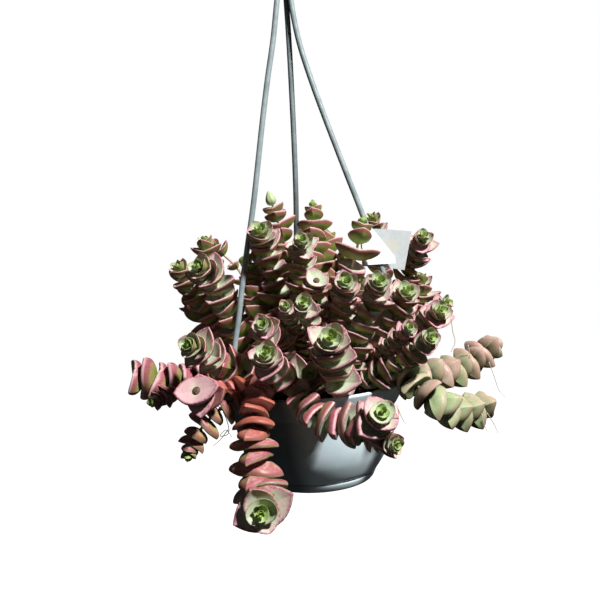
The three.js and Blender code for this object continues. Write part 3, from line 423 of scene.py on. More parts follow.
def plan_pairs(plan):
    """Every pair of a stem, tip first, with the reach and cup of its two leaves and two waists."""
    draw = Drawer(1000 + 77 * plan["index"])
    grown = plan.get("grown", PAIRS_TO_FULL_SIZE)
    fat = plan.get("fat", False)
    thickness = plan.get("thick", FAT_THICKNESS if fat else LEAF_THICKNESS)
    end = plan["samples"][-1][3]
    room = end - plan.get("bare", BARE_LENGTH)
    leaf = plan["leaf"]
    pairs = []
    back = CUT_BACK if plan.get("cut") else TIP_BACK
    solid_pairs = plan.get("pairs", MOST_PAIRS)
    for place in range(solid_pairs + MORE_PAIRS):
        if back >= room:
            break
        age = min((place + grown - 1 if plan.get("cut") else place) / grown, 1)
        is_bud = plan.get("closed", False) and place == 0
        share = CLOSED_BUD if is_bud else SMALLEST_PAIR + (1 - SMALLEST_PAIR) * age
        size = leaf * share * (1 - (1 - plan.get("base", 1)) * back / room)
        here = frame_at(plan["samples"], end - back)
        azimuth = plan["turn"] + 90 * place + 10 * (draw() - 0.5)
        thick = max(THINNEST_LEAF, thickness * size)
        rise = (FAT_CUP if fat else FLAT_CUP) + YOUNG_CUP * (1 - share)
        if plan.get("shallow"):
            rise = SHALLOW_CUP + SHALLOW_YOUNG_CUP * (1 - share)
        if is_bud:
            rise = CLOSED_CUP
        lobes = []
        for corner in range(4):
            is_leaf = corner % 2 == 0
            out = here.outward(azimuth + 90 * corner)
            beside = here.outward(azimuth + 90 * corner + 90)
            cup = math.tan(math.radians(rise + 6 * (draw() - 0.5))) * (1 if is_leaf else 0.5)
            full = size * (0.94 + 0.12 * draw() if is_leaf else LEAF_WAIST)

            def lobe_points(s):
                reach = s * full
                return [here.point(out, along * reach, beside, wide * reach,
                                   along * reach * cup - under * thick)
                        for along, wide, under in (PROBES if is_leaf else PROBES[:1])]

            reach = full * room_for(lobe_points, plan, place >= solid_pairs)
            lobes.append((out, reach if is_leaf else max(reach, LEAST_WAIST), cup))
        spread = OLD_SPREAD if age >= 1 else YOUNG_PITCH + (1 - YOUNG_PITCH) * age
        if plan.get("even"):
            spread = 1
        step = max(spread * plan.get("pitch", LEAF_PITCH) * min(size + 0.1 * leaf, leaf), thick + 0.8)
        pairs.append(dict(place=place, share=share, size=size, back=back, frame=here, azimuth=azimuth,
                          thick=thick, lobes=lobes, is_bud=is_bud))
        back += step
    return pairs


# Meshes with per-vertex attributes

# The way to the sun: leaves facing it reddened as they grew, and the leaf rims and pale strands are painted
# lighter facing it and darker away from it, as painted light and shade
SUN_WAY = np.array([0.15, -0.35, 0.92], np.float32)


def new_object(name, data):
    made = bpy.data.objects.new(name, data)
    bpy.context.collection.objects.link(made)
    return made


class Skin:
    """Collects vertices in millimetres, faces and per-vertex attributes, and makes one object of them."""

    def __init__(self, *attributes):
        self.vertices, self.faces, self.materials = [], [], []
        self.values = {name: [] for name in attributes if name != "sunny"}
        self.faces_up = "sunny" in attributes
        self.count = 0

    def add(self, vertices, faces, material=0, **values):
        vertices = np.asarray(vertices, float)
        self.vertices.append(vertices)
        self.faces.extend([tuple(i + self.count for i in face) for face in faces])
        self.materials.extend([material] * len(faces))
        for name, store in self.values.items():
            store.append(np.broadcast_to(np.asarray(values.get(name, 0.0), float), len(vertices)))
        self.count += len(vertices)

    def make(self, name, materials, slot, replaces=(), smooth=True):
        mesh = bpy.data.meshes.new(name)
        vertices = (np.concatenate(self.vertices) - np.array([0, 0, HANG_HEIGHT])) * MM
        mesh.from_pydata(vertices.tolist(), [], self.faces)
        for material in materials:
            mesh.materials.append(material)
        mesh.polygons.foreach_set("material_index", self.materials)
        mesh.polygons.foreach_set("use_smooth", [smooth] * len(self.faces))
        mesh.update()
        values = {key: np.concatenate(store) for key, store in self.values.items()}
        if self.faces_up:
            normals = np.empty(3 * len(vertices), np.float32)
            mesh.vertex_normals.foreach_get("vector", normals)
            values["sunny"] = normals.reshape(-1, 3) @ SUN_WAY
        for key, value in values.items():
            mesh.attributes.new(key, "FLOAT", "POINT").data.foreach_set("value", value.astype(np.float32))
        piece = new_object(name, mesh)
        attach(piece, "root")
        if replaces:
            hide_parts(*replaces)


def grid_faces(rows, columns):
    """Quads of a grid stored row by row, its columns closed in a ring."""
    faces = []
    for start in range(0, (rows - 1) * columns, columns):
        for column in range(columns):
            right = (column + 1) % columns
            faces.append((start + column, start + right, start + columns + right, start + columns + column))
    return faces


def dish_faces(rows, columns):
    """The quads of a grid, and triangles that close its first and last row over two middle points."""
    faces = grid_faces(rows, columns)
    last, middle = (rows - 1) * columns, rows * columns
    for column in range(columns):
        right = (column + 1) % columns
        faces += [(right, column, middle), (last + column, last + right, middle + 1)]
    return faces


def turns(sides):
    return np.arange(sides) * 2 * math.pi / sides


def tube(skin, points, radii, sides=10, material=0, **values):
    """A round rod through points, closed at both ends."""
    points = [np.asarray(p, float) for p in points]
    across = np.array([1.0, 0.0, 0.0])
    if abs(unit(points[1] - points[0])[0]) > 0.9:
        across = np.array([0.0, 1.0, 0.0])
    angles = turns(sides)
    rings = []
    for i, point in enumerate(points):
        growth = unit(points[min(i + 1, len(points) - 1)] - points[max(i - 1, 0)])
        across = unit(across - growth * across.dot(growth))
        side = np.cross(growth, across)
        rings.append(point + radii[i] * (np.outer(np.cos(angles), across) + np.outer(np.sin(angles), side)))
    faces = grid_faces(len(points), sides)
    faces += [tuple(reversed(range(sides))), tuple(range((len(points) - 1) * sides, len(points) * sides))]
    spread = {key: np.repeat(value, sides) if np.ndim(value) else value for key, value in values.items()}
    skin.add(np.concatenate(rings), faces, material, **spread)


# Leaves. A pair is one dish: its outline has a leaf tip at two corners and a waist at the others.

QUARTER_STEPS = 9
COLUMNS = 4 * QUARTER_STEPS
QUARTER = np.repeat(np.arange(4), QUARTER_STEPS)
FOLLOWING = (QUARTER + 1) % 4
# Quarters 0 and 2 start at a leaf tip, the others at a waist
TIP_FIRST = QUARTER % 2 == 0
LEAF = np.where(TIP_FIRST, QUARTER, FOLLOWING)
WAIST = np.where(TIP_FIRST, FOLLOWING, QUARTER)
SIDE = np.where(TIP_FIRST, 1, -1)
# Of each column: its share of the leaf's length, and of its half width as a share of the waist's reach
QUARTER_ANGLES = np.arange(QUARTER_STEPS) / QUARTER_STEPS * math.pi / 2
ALONG = np.tile(np.cos(np.concatenate([QUARTER_ANGLES, math.pi / 2 - QUARTER_ANGLES])), 2)
WIDE = (1 - ALONG ** 1.8) * (1 + 0.3 * ALONG)
# Of each ring: its share of the outline, and 1 on the upper face to 0 on the under face
TOP_RINGS = [0.22, 0.44, 0.64, 0.80, 0.90, 0.96, 0.99]
RINGS = [(r, 1.0) for r in TOP_RINGS] + [(1.0, 0.5)] + [(r, 0.0) for r in reversed(TOP_RINGS)]
# The rings' values at every vertex, the two middles last
RING_EDGE = np.append(np.repeat([ring for ring, top in RINGS], COLUMNS), [0, 0])
RING_FACE = np.append(np.repeat([top for ring, top in RINGS], COLUMNS), [1, 0])
RING_ALONG = np.append(np.concatenate([ring * ALONG for ring, top in RINGS]), [0, 0])
PAIR_FACES = [face[::-1] for face in dish_faces(len(RINGS), COLUMNS)]
RIM_SHARE = 0.46
FAT_RIM_SHARE = 0.62


def add_pair(skin, here, lobes, thick, share, random, age, flush, fat=False, pale=0.0, belly=0.0):
    """Adds one pair of leaves, as a closed dish round its stem."""
    outs, reaches, cups = (np.array(part) for part in zip(*lobes))
    youth = 1 - share
    curl = 0.12 + 1.0 * youth
    reach, low = reaches[LEAF], reaches[WAIST] * (1 + 0.3 * youth)
    # Each leaf bends and twists a little its own way
    bend = random.uniform(-0.08, 0.10, 4)[LEAF]
    twist = random.uniform(-0.12, 0.12, 4)[LEAF] * SIDE
    phase = random.uniform(0, 2 * math.pi, 4)[LEAF]
    rim = max((FAT_RIM_SHARE if fat else RIM_SHARE) * thick, 0.6)
    rings = []
    for ring, top in RINGS:
        s = ring * ALONG
        w = ring * WIDE
        out = reach * (s * (1 + curl * (1 - s)) - 0.35 * youth * s ** 3)
        out = out - 0.22 * youth * reach * w * w * np.minimum(3 * s, 1)
        flat = outs[LEAF] * out[:, None] + outs[WAIST] * (low * w)[:, None]
        high = cups[LEAF] * reach * s * (1 - 0.4 * (1 - s)) + cups[WAIST] * low * w
        high = high + reach * (0.08 * ring ** 3 + bend * s * s + twist * s * w)
        high = high + 0.012 * reach * np.sin(7 * s + phase) * ring
        edge_round = math.sqrt(max(1 - ring ** 26, 0))
        if top != 0.5:
            high = high + 0.5 * rim * edge_round
        if top < 0.5:
            body = (thick * (1 + 0.3 * youth) - rim) * (1 - ring ** 3) * (1 - 0.2 * s) + rim * edge_round
            keel = 0.10 * thick * np.maximum(1 - 2.5 * WIDE, 0) * s * (1 - s) * 4
            high = high - body - keel
        rings.append(here.at + flat + high[:, None] * here.growth)
    middle = [here.at + here.growth * 0.5 * rim, here.at + here.growth * (0.5 * rim - thick)]
    skin.add(np.concatenate([*rings, middle]), PAIR_FACES, 0, edge=RING_EDGE, face=RING_FACE,
             along=RING_ALONG, age=age, flush=flush, pale=pale, belly=belly)


def add_bud(skin, pairs, random, flush):
    """The two smallest pairs, closed over the tip."""
    first = pairs[0]
    base = first["frame"]
    for step, (size, lift) in enumerate([(0.66, 0.25), (0.40, 0.50)]):
        here = Frame(base.at + base.growth * lift * first["size"], base.growth, base.across)
        reach = size * first["size"]
        cup = math.tan(math.radians(66 + 6 * step))
        azimuth = first["azimuth"] - 90 * (step + 1)
        lobes = []
        for corner in range(4):
            is_leaf = corner % 2 == 0
            lobes.append((here.outward(azimuth + 90 * corner), reach * (0.62 if is_leaf else 0.42),
                          cup if is_leaf else 0.4 * cup))
        add_pair(skin, here, lobes, max(0.5, 0.3 * reach), 0.15, random, 0.0, flush)


EGG_RINGS = 14
EGG_SIDES = 28


def add_egg(skin, pair, flush):
    """The shut bud: two leaves pressed together, with a seam round their touching edges."""
    here, size = pair["frame"], pair["size"]
    height = CLOSED_HEIGHT * size
    angles = turns(EGG_SIDES)
    seam = np.abs(np.sin(angles))
    rings, edge = [], []
    for k in range(EGG_RINGS + 1):
        share = k / EGG_RINGS
        radius = size * max(math.sin(math.pi * share ** 0.72) ** 0.75 * (1 - 0.25 * share), 0.02)
        flat = radius * (1 - 0.12 * (1 - seam) ** 3)
        out = np.outer(flat * np.cos(angles), here.outward(pair["azimuth"]))
        beside = np.outer(0.86 * flat * np.sin(angles), here.outward(pair["azimuth"] + 90))
        rings.append(here.at + out + beside + here.growth * (height * share - 0.4))
        edge.append((1 - seam) ** 2 * 0.95)
    skin.add(np.concatenate(rings), grid_faces(len(rings), EGG_SIDES), 0, edge=np.concatenate(edge),
             face=1.0, along=0.0, age=0.22, flush=flush)


# How red a stem's leaves are, from 0 to 1, where it isn't drawn
RED_STEMS = {"left_cut": 0.55, "left_trailing": 0.65, "front_trailing": 0.75, "front_strand": 0.38,
             "left_long": 0.55, "right_strand_upper": 0.35, "right_strand_lower": 0.1}
# Stems that redden from the tip down: their least flush, and the length over which it grows by one
REDDER_DOWN = {"front_trailing": (0.3, 110), "left_cut": (0.6, 45), "left_trailing": (0.4, 90)}
# Stems whose leaves keep their lower half olive
OLIVE_BELOW = ["front_trailing", "left_trailing"]
# A cut end's radius, as a share of the leaves' length
SCAR_SHARE = 0.17
# A stem's rod: the length between its rings, their corners, and the leaf length below which it is thinner
ROD_STEP = 2.5
ROD_SIDES = 10
SMALL_LEAF = 10


def build_stem(plan, skin):
    """One stem: its rod, its pairs, and the bud or cut end at its tip."""
    cut = plan.get("cut", False)
    random = np.random.default_rng(300 + plan["index"])
    pairs = plan_pairs(plan)
    end = plan["samples"][-1][3]
    stem_flush = RED_STEMS.get(plan["name"], 0.30 + 0.2 * random.random())
    rod_length = end if cut else end - pairs[0]["back"]
    count = max(int(rod_length / ROD_STEP), 8)
    points, radii, ages = [], [], []
    if "root" in plan:
        points.append((*plan["root"], ROOT_BOTTOM + 1))
        radii.append(STEM_RADIUS)
        ages.append(1.0)
    base_radius = STEM_RADIUS * (0.8 if plan["leaf"] < SMALL_LEAF else 1)
    for i in range(count + 1):
        share = i / count
        points.append(frame_at(plan["samples"], max(rod_length * share, 0.01)).at)
        radii.append(base_radius * (1 - 0.45 * share) * (1 + 0.08 * random.uniform(-1, 1)))
        ages.append(1.0 if cut else 1 - share)
    tube(skin, points, radii, ROD_SIDES, 1, age=np.array(ages), flush=stem_flush)
    if cut:
        low, high = [frame_at(plan["samples"], end - back) for back in (2.6, 0.6)]
        scar = SCAR_SHARE * plan["leaf"]
        tube(skin, [low.at, high.at, high.at + 0.8 * high.growth], [scar, scar, 0.6 * scar], 16, 1, age=1.0)
    for pair in pairs:
        flush = min(max(stem_flush + random.normal(0, 0.12), 0), 1)
        if plan["name"] in REDDER_DOWN:
            least, length = REDDER_DOWN[plan["name"]]
            flush = min(1.0, least + pair["back"] / length)
        age = (pair["share"] - SMALLEST_PAIR) / (1 - SMALLEST_PAIR)
        age = 0.12 + 0.88 * age + 0.08 * max(pair["place"] - 5, 0)
        if pair["is_bud"]:
            add_egg(skin, pair, flush)
            continue
        add_pair(skin, pair["frame"], pair["lobes"], pair["thick"], pair["share"], random, age, flush,
                 plan.get("fat", False), float(plan.get("pale", False)), float(plan["name"] in OLIVE_BELOW))
    if not cut and not plan.get("closed"):
        add_bud(skin, pairs, random, stem_flush)


# Node graphs

class Graph:
    """A material's node tree, with short calls for the nodes used here."""

    def __init__(self, name):
        self.material = bpy.data.materials.new(name)
        self.material.use_nodes = True
        self.tree = self.material.node_tree
        self.shader = self.tree.nodes["Principled BSDF"]

    def put(self, target, value):
        if isinstance(value, bpy.types.NodeSocket):
            self.tree.links.new(value, target)
        elif isinstance(value, (tuple, list)) and len(value) == 3 and target.type == "RGBA":
            target.default_value = (*value, 1)
        else:
            target.default_value = value

    def attribute(self, name):
        node = self.tree.nodes.new("ShaderNodeAttribute")
        node.attribute_name = name
        return node.outputs["Fac"]

    def maths(self, operation, value, *others):
        for other in others:
            node = self.tree.nodes.new("ShaderNodeMath")
            node.operation = operation
            self.put(node.inputs[0], value)
            self.put(node.inputs[1], other)
            value = node.outputs[0]
        return value

    def times(self, *factors):
        return self.maths("MULTIPLY", *factors)

    def plus(self, *terms):
        return self.maths("ADD", *terms)

    def less(self, value, share):
        return self.maths("SUBTRACT", value, share)

    def ramp(self, value, low, high, low_value=0.0, high_value=1.0):
        """A smooth step of the value from low to high."""
        node = self.tree.nodes.new("ShaderNodeMapRange")
        node.interpolation_type = "SMOOTHSTEP"
        self.put(node.inputs["Value"], value)
        for name, number in (("From Min", low), ("From Max", high),
                             ("To Min", low_value), ("To Max", high_value)):
            node.inputs[name].default_value = number
        return node.outputs[0]

    def mix(self, share, a, b):
        node = self.tree.nodes.new("ShaderNodeMix")
        node.data_type = "RGBA"
        for socket, value in ((0, share), (6, a), (7, b)):
            self.put(node.inputs[socket], value)
        return node.outputs[2]

    def fade(self, value, a, b, low=0.3, high=0.7):
        """From one colour to another as the value goes from low to high."""
        return self.mix(self.ramp(value, low, high), a, b)

    def noise(self, scale, detail=3.0, roughness=0.5, distortion=0.0):
        node = self.tree.nodes.new("ShaderNodeTexNoise")
        for name, value in (("Scale", scale), ("Detail", detail), ("Roughness", roughness),
                            ("Distortion", distortion)):
            node.inputs[name].default_value = value
        self.put(node.inputs["Vector"], self.tree.nodes.new("ShaderNodeTexCoord").outputs["Object"])
        return node.outputs["Fac"]

    def bump(self, height, strength, distance):
        node = self.tree.nodes.new("ShaderNodeBump")
        node.inputs["Strength"].default_value = strength
        node.inputs["Distance"].default_value = distance
        self.put(node.inputs["Height"], height)
        self.put(self.shader.inputs["Normal"], node.outputs[0])

    def finish(self, colour, roughness, **settings):
        self.put(self.shader.inputs["Base Color"], colour)
        self.put(self.shader.inputs["Roughness"], roughness)
        for name, value in settings.items():
            self.shader.inputs[name.replace("_", " ")].default_value = value
        return self.material


LEAF_VALUES = ["edge", "face", "along", "age", "flush", "pale", "belly", "sunny"]


def leaf_material():
    g = Graph("leaf")
    edge, face, along, age, flush, pale, belly, sunny = [g.attribute(name) for name in LEAF_VALUES]
    patches = g.noise(140, 3, 0.6)
    fine = g.noise(900, 2, 0.5)
    formed = g.ramp(age, 0.12, 0.5)
    # Upper face: yellow-green in the bud, mint while young, cream when grown, pink towards the tip and margin
    bud = g.fade(age, (0.30, 0.42, 0.09), (0.34, 0.44, 0.22), 0.02, 0.2)
    young = g.fade(age, bud, (0.44, 0.53, 0.37), 0.15, 0.5)
    grown = g.fade(age, young, (0.50, 0.57, 0.42), 0.45, 0.95)
    outwards = g.plus(g.times(edge, 0.5), g.times(along, 0.35), g.ramp(flush, 0.5, 0.7, 0.0, 0.5))
    blush = g.times(g.ramp(g.plus(patches, outwards), 0.85, 1.25), g.ramp(flush, 0.0, 0.7, 0.4, 1.0),
                    g.ramp(age, 0.25, 0.8))
    top = g.mix(blush, grown, (0.60, 0.38, 0.40))
    # Margin: a crimson line just inside a thin pale rim
    dots = g.ramp(g.noise(600, 2, 0.6), 0.38, 0.62, 0.35, 1.0)
    line = g.times(g.ramp(edge, 0.82, 0.94), g.ramp(edge, 1.0, 0.982), dots, formed)
    top = g.mix(g.times(line, 0.85), top, (0.30, 0.03, 0.10))
    # Under face: olive, turning crimson where it faces the sun
    under = g.fade(age, (0.22, 0.33, 0.08), (0.21, 0.27, 0.05), 0.1, 0.6)
    under = g.mix(g.ramp(patches, 0.4, 0.75, 0.0, 0.7), under, (0.32, 0.36, 0.12))
    upwards = g.less(sunny, g.times(belly, 0.3))
    warm = g.times(g.ramp(g.plus(upwards, g.times(patches, 0.6)), 0.30, 1.0),
                   g.ramp(flush, 0.0, 0.6, 0.35, 1.0),
                   g.less(1.0, g.times(belly, g.ramp(face, 0.1, 0.5))), g.ramp(age, 0.15, 0.7))
    streaks = g.fade(g.noise(260, 3, 0.6, 1.5), (0.42, 0.25, 0.22), (0.33, 0.10, 0.10), 0.38, 0.62)
    under = g.mix(warm, under, streaks)
    under_line = g.times(g.ramp(edge, 0.80, 0.96), formed)
    under = g.mix(g.times(under_line, 0.7), under, (0.28, 0.04, 0.09))
    colour = g.fade(face, under, top, 0.2, 0.8)
    rim_colour = g.fade(patches, (0.44, 0.17, 0.20), (0.58, 0.38, 0.36), 0.35, 0.65)
    rim_colour = g.mix(formed, (0.46, 0.48, 0.34), rim_colour)
    rim_colour = g.fade(flush, rim_colour, (0.56, 0.36, 0.37), 0.42, 0.6)
    # The pale rim shows four times as strongly facing the sun as facing away: a painted highlight on the
    # leaf's own pale rim
    rim = g.times(g.ramp(edge, 0.990, 1.0), g.ramp(sunny, -0.2, 0.5, 0.15, 0.6), g.less(1.0, belly))
    colour = g.mix(rim, colour, rim_colour)
    # The rounded lower half of the trailing stems' leaves stays olive
    low_half = g.times(belly, g.ramp(edge, 0.97, 0.99), g.ramp(face, 0.12, 0.45), 0.85)
    colour = g.mix(low_half, colour, g.fade(patches, (0.14, 0.17, 0.05), (0.26, 0.23, 0.13), 0.4, 0.7))
    # Old leaves in strong light turn red
    red = g.times(g.ramp(flush, 0.78, 1.0), g.ramp(age, 0.7, 1.1),
                  g.ramp(g.plus(sunny, patches), 0.3, 1.1, 0.05, 1.0), 0.8)
    colour = g.mix(red, colour, (0.36, 0.08, 0.045))
    # Leaves of the pale strands: mint or pink-beige above, olive below, with hardly any line. The side facing
    # away from the sun is painted far darker, painted shade on the leaves' own olive.
    above = g.fade(flush, (0.34, 0.43, 0.23), (0.46, 0.33, 0.27), 0.12, 0.4)
    above = g.mix(g.ramp(patches, 0.45, 0.7, 0.0, 0.6), above, (0.50, 0.49, 0.39))
    below = g.fade(flush, (0.09, 0.14, 0.045), (0.15, 0.145, 0.06), 0.12, 0.4)
    strand = g.fade(sunny, below, above, -0.35, 0.55)
    strand = g.mix(g.times(under_line, 0.35), strand, (0.36, 0.18, 0.15))
    colour = g.mix(g.times(pale, g.ramp(age, 0.1, 0.5, 0.5, 0.95)), colour, strand)
    shade = g.tree.nodes.new("ShaderNodeVectorMath")
    shade.operation = "SCALE"
    g.put(shade.inputs[0], colour)
    g.put(shade.inputs["Scale"], g.ramp(fine, 0.3, 0.7, 0.93, 1.05))
    g.bump(g.plus(g.noise(420, 3, 0.55), g.times(fine, 0.4)), 0.1, 0.0005)
    return g.finish(shade.outputs[0], g.ramp(patches, 0.2, 0.8, 0.38, 0.55), Subsurface_Weight=0.10,
                    Subsurface_Radius=(0.002, 0.0012, 0.0006), Subsurface_Scale=1.0, Specular_IOR_Level=0.35)


def stem_material():
    g = Graph("stem")
    bark = g.fade(g.noise(500, 4, 0.6), (0.05, 0.025, 0.015), (0.15, 0.08, 0.05), 0.35, 0.65)
    g.bump(g.noise(900, 4, 0.6), 0.5, 0.0008)
    return g.finish(g.fade(g.attribute("age"), (0.50, 0.36, 0.28), bark, 0.25, 0.7), 0.7)


def pot_material():
    """Grey-blue plastic with painted light and shade: dark away from the key light and pale towards it, with
    a little dust.
    """
    g = Graph("pot")
    mottle = g.noise(55, 4, 0.6)
    slate_with_painted_shade = g.fade(mottle, (0.07, 0.10, 0.125), (0.09, 0.125, 0.15))
    painted_sunlit = g.fade(mottle, (0.62, 0.77, 0.84), (0.68, 0.82, 0.88))
    # Painted light and shade: pale where the pot faces the key light, dark slate away from it
    colour = g.fade(g.attribute("sunward"), slate_with_painted_shade, painted_sunlit, 0.40, 0.75)
    dust = g.ramp(g.noise(16, 5, 0.65, 0.6), 0.52, 0.75, 0.0, 0.12)
    g.bump(g.noise(2200, 2, 0.5), 0.12, 0.0003)
    return g.finish(g.mix(dust, colour, (0.44, 0.48, 0.50)), g.ramp(mottle, 0.3, 0.7, 0.34, 0.46),
                    Specular_IOR_Level=0.5)


def hanger_material():
    g = Graph("hanger")
    streak = g.noise(120, 3, 0.6)
    g.bump(g.noise(1500, 2, 0.5), 0.08, 0.0003)
    return g.finish(g.fade(streak, (0.20, 0.25, 0.27), (0.28, 0.34, 0.36)),
                    g.ramp(streak, 0.3, 0.7, 0.28, 0.40))


def soil_material():
    g = Graph("soil")
    grain = g.noise(260, 6, 0.7)
    g.bump(grain, 1.0, 0.003)
    return g.finish(g.fade(grain, (0.012, 0.008, 0.005), (0.055, 0.036, 0.022), 0.35, 0.65), 0.95)


def tag_material():
    """White card: the front panel catches the light and is white; the rear one is painted grey as painted
    shade, and has a pale disc.
    """
    g = Graph("tag")
    fibre = g.noise(300, 3, 0.5)
    front = g.fade(fibre, (0.84, 0.90, 0.92), (0.87, 0.93, 0.94))
    # Painted shade: the rear panel of the white card gets a grey colour
    rear = g.fade(fibre, (0.44, 0.48, 0.50), (0.49, 0.52, 0.54))
    rear = g.mix(g.ramp(g.attribute("disc"), 0.96, 1.04, 1.0, 0.0), rear, (0.50, 0.50, 0.46))
    g.bump(fibre, 0.05, 0.0003)
    return g.finish(g.mix(g.attribute("rear"), front, rear), g.ramp(fibre, 0.3, 0.7, 0.35, 0.45))


def crumb_material():
    """Loose bark and pale grit on the soil."""
    g = Graph("crumbs")
    bark = g.mix(g.noise(300, 4, 0.6), (0.03, 0.018, 0.01), (0.12, 0.07, 0.04))
    g.bump(g.noise(900, 4, 0.6), 0.6, 0.0006)
    return g.finish(g.fade(g.attribute("pale"), bark, (0.55, 0.52, 0.46), 0.72, 0.75), 0.9)


def root_material():
    g = Graph("aerial_root")
    return g.finish(g.mix(g.noise(200, 3, 0.6), (0.42, 0.36, 0.29), (0.68, 0.62, 0.54)), 0.8)


# Build

leaf_look = leaf_material()
stem_look = stem_material()
pot_look = pot_material()
hanger_look = hanger_material()
soil_look = soil_material()
tag_look = tag_material()
crumb_look = crumb_material()
root_look = root_material()

SLOTS = {entry["node"]: entry["material_slot"] for entry in frame["record"]["subparts"]}

skins = {}
for plan in PLANS:
    build_stem(plan, skins.setdefault(plan["name"], Skin(*LEAF_VALUES)))
for name, skin in skins.items():
    skin.make(f"fine_{name}", [leaf_look, stem_look], SLOTS[f"stem_{name}"], [f"stem_{name}"])


def circle(radius, height, angles):
    """Points round the pot's axis, at one height or at a height of their own."""
    heights = np.broadcast_to(height, angles.shape)
    return np.stack([radius * np.cos(angles), radius * np.sin(angles), heights], 1)


def lathe(skin, profile, sides):
    """A body of revolution from a profile that closes on itself."""
    angles = turns(sides)
    rows = [circle(radius, height, angles) for radius, height in [*profile, profile[0]]]
    # How squarely each point faces the key light, for the painted light and shade on the pot
    sunward = np.tile(np.cos(angles - PAINTED_LIGHT_AZIMUTH), len(rows))
    skin.add(np.concatenate(rows), grid_faces(len(rows), sides), sunward=sunward)


def build_pot_floor():
    """The pot's floor inside its foot: four quadrants, each with its drain hole."""
    skin = Skin("sunward")
    middle = np.full(2, DRAIN_DISTANCE / math.sqrt(2))
    corners = np.array([(0, 0), (PLATE_RADIUS, 0), (0, PLATE_RADIUS)])
    angles = [math.atan2(y - middle[1], x - middle[0]) for x, y in corners]
    angles = np.unique(np.concatenate([angles, np.linspace(-math.pi, math.pi, 32, endpoint=False)]))
    ways = np.stack([np.cos(angles), np.sin(angles)], 1)
    along = ways @ middle
    reach = -along + np.sqrt(along ** 2 + PLATE_RADIUS ** 2 - middle @ middle)
    for axis in (0, 1):
        inwards = ways[:, axis] < -1e-6
        reach[inwards] = np.minimum(reach[inwards], -middle[axis] / ways[inwards, axis])
    inner = middle + DRAIN_RADIUS * ways
    outer = middle + reach[:, None] * ways
    low, high = -POT_HEIGHT, FLOOR_THICKNESS - POT_HEIGHT
    for quadrant in range(4):
        turn = quadrant * math.pi / 2
        spin = np.array([(math.cos(turn), math.sin(turn)), (-math.sin(turn), math.cos(turn))])
        rows = [np.column_stack([loop @ spin, np.full(len(loop), height)])
                for loop, height in ((outer, low), (outer, high), (inner, high), (inner, low), (outer, low))]
        skin.add(np.concatenate(rows), grid_faces(len(rows), len(angles)))
    skin.make("pot_floor", [pot_look], "pot", smooth=False)


def build_pot():
    """The pot's wall with rounded edges, its groove and its foot."""
    skin = Skin("sunward")
    outer = [(FOOT_RADIUS - 1, -POT_HEIGHT), (FOOT_RADIUS + 0.9, -POT_HEIGHT + 0.2), (42.2, 1.6 - POT_HEIGHT),
             (43.4, -69), (44.2, -67.4), (44.2, -67.0), (43.5, -66.7), (43.6, -66.3), (44.9, -65.8),
             (47.1, -62.8), (49.3, -59.4), (52.0, -54.9), (54.5, -49.9), (56.7, -42.5), (58.4, -34),
             (59.6, -25), (60.4, -18.4), (60.7, -17.5), (BAND_LOW_RADIUS, -BAND_HEIGHT), (62.5, -16.2),
             (RIM_RADIUS - 0.5, -2.2), (RIM_RADIUS, -1.1), (RIM_RADIUS - 0.1, -0.4), (RIM_RADIUS - 0.7, 0.0)]
    inner = [(RIM_RADIUS - RIM_THICKNESS + 0.5, 0.0), (RIM_RADIUS - RIM_THICKNESS - 0.2, -0.6), (60.2, -15),
             (59.8, -16.4), (58, -BAND_HEIGHT - 2), (55.2, -36), (51, -51), (46.4, -60),
             (40.6, FLOOR_THICKNESS - POT_HEIGHT), (PLATE_RADIUS, FLOOR_THICKNESS - POT_HEIGHT),
             (PLATE_RADIUS, -POT_HEIGHT)]
    lathe(skin, outer + inner, 128)
    skin.make("pot_wall", [pot_look], "pot", ["pot"])


BOX_ROUNDING = 0.18


def grid_box(skin, place, axes, size, **values):
    """A box with its edges rounded off, from its middle, its axes and its size along each."""
    corner_round = BOX_ROUNDING * min(size)
    half = np.array(size) / 2
    stops = np.array([-half, corner_round - half, half - corner_round, half]).T
    index, vertices, faces = {}, [], []

    def vertex(i, j, k):
        if (i, j, k) not in index:
            local = np.array([stops[0][i], stops[1][j], stops[2][k]])
            core = np.clip(local, corner_round - half, half - corner_round)
            away = local - core
            away = away * corner_round / max(np.linalg.norm(away), 1e-6)
            index[i, j, k] = len(vertices)
            vertices.append(place + (core + away) @ axes)
        return index[i, j, k]

    for a in range(3):
        for b in range(3):
            corners = [(a, b), (a + 1, b), (a + 1, b + 1), (a, b + 1)]
            for end in (0, 3):
                for side in (lambda u, v: (end, u, v), lambda u, v: (v, end, u), lambda u, v: (u, v, end)):
                    face = [vertex(*side(u, v)) for u, v in corners]
                    faces.append(face if end else face[::-1])
    skin.add(np.array(vertices), faces, **values)


PEG_SIZE = 4.0
PEG_DEPTH = 5.4
TAB_SIZE = (2.4, 8, 11)
TAB_OFFSET = 0.72 + 1.2
COLLAR_DOWN = unit(np.array([60.0 - (RIM_RADIUS - RIM_THICKNESS), 1.4 - BAND_HEIGHT]))
COLLAR_IN = np.array([COLLAR_DOWN[1], -COLLAR_DOWN[0]])
PEG_PLACE = np.array([RIM_RADIUS - RIM_THICKNESS, 0]) - COLLAR_DOWN * PEG_DEPTH / COLLAR_DOWN[1]


def collar_box(skin, azimuth, size, offset):
    """A box against the collar's inner face, as in the CAD source."""
    through = around(azimuth, *COLLAR_IN)
    across = around(azimuth + 90, 1, 0)
    place = around(azimuth, *(PEG_PLACE + COLLAR_IN * offset))
    grid_box(skin, place, np.array([through, across, np.cross(through, across)]), size)


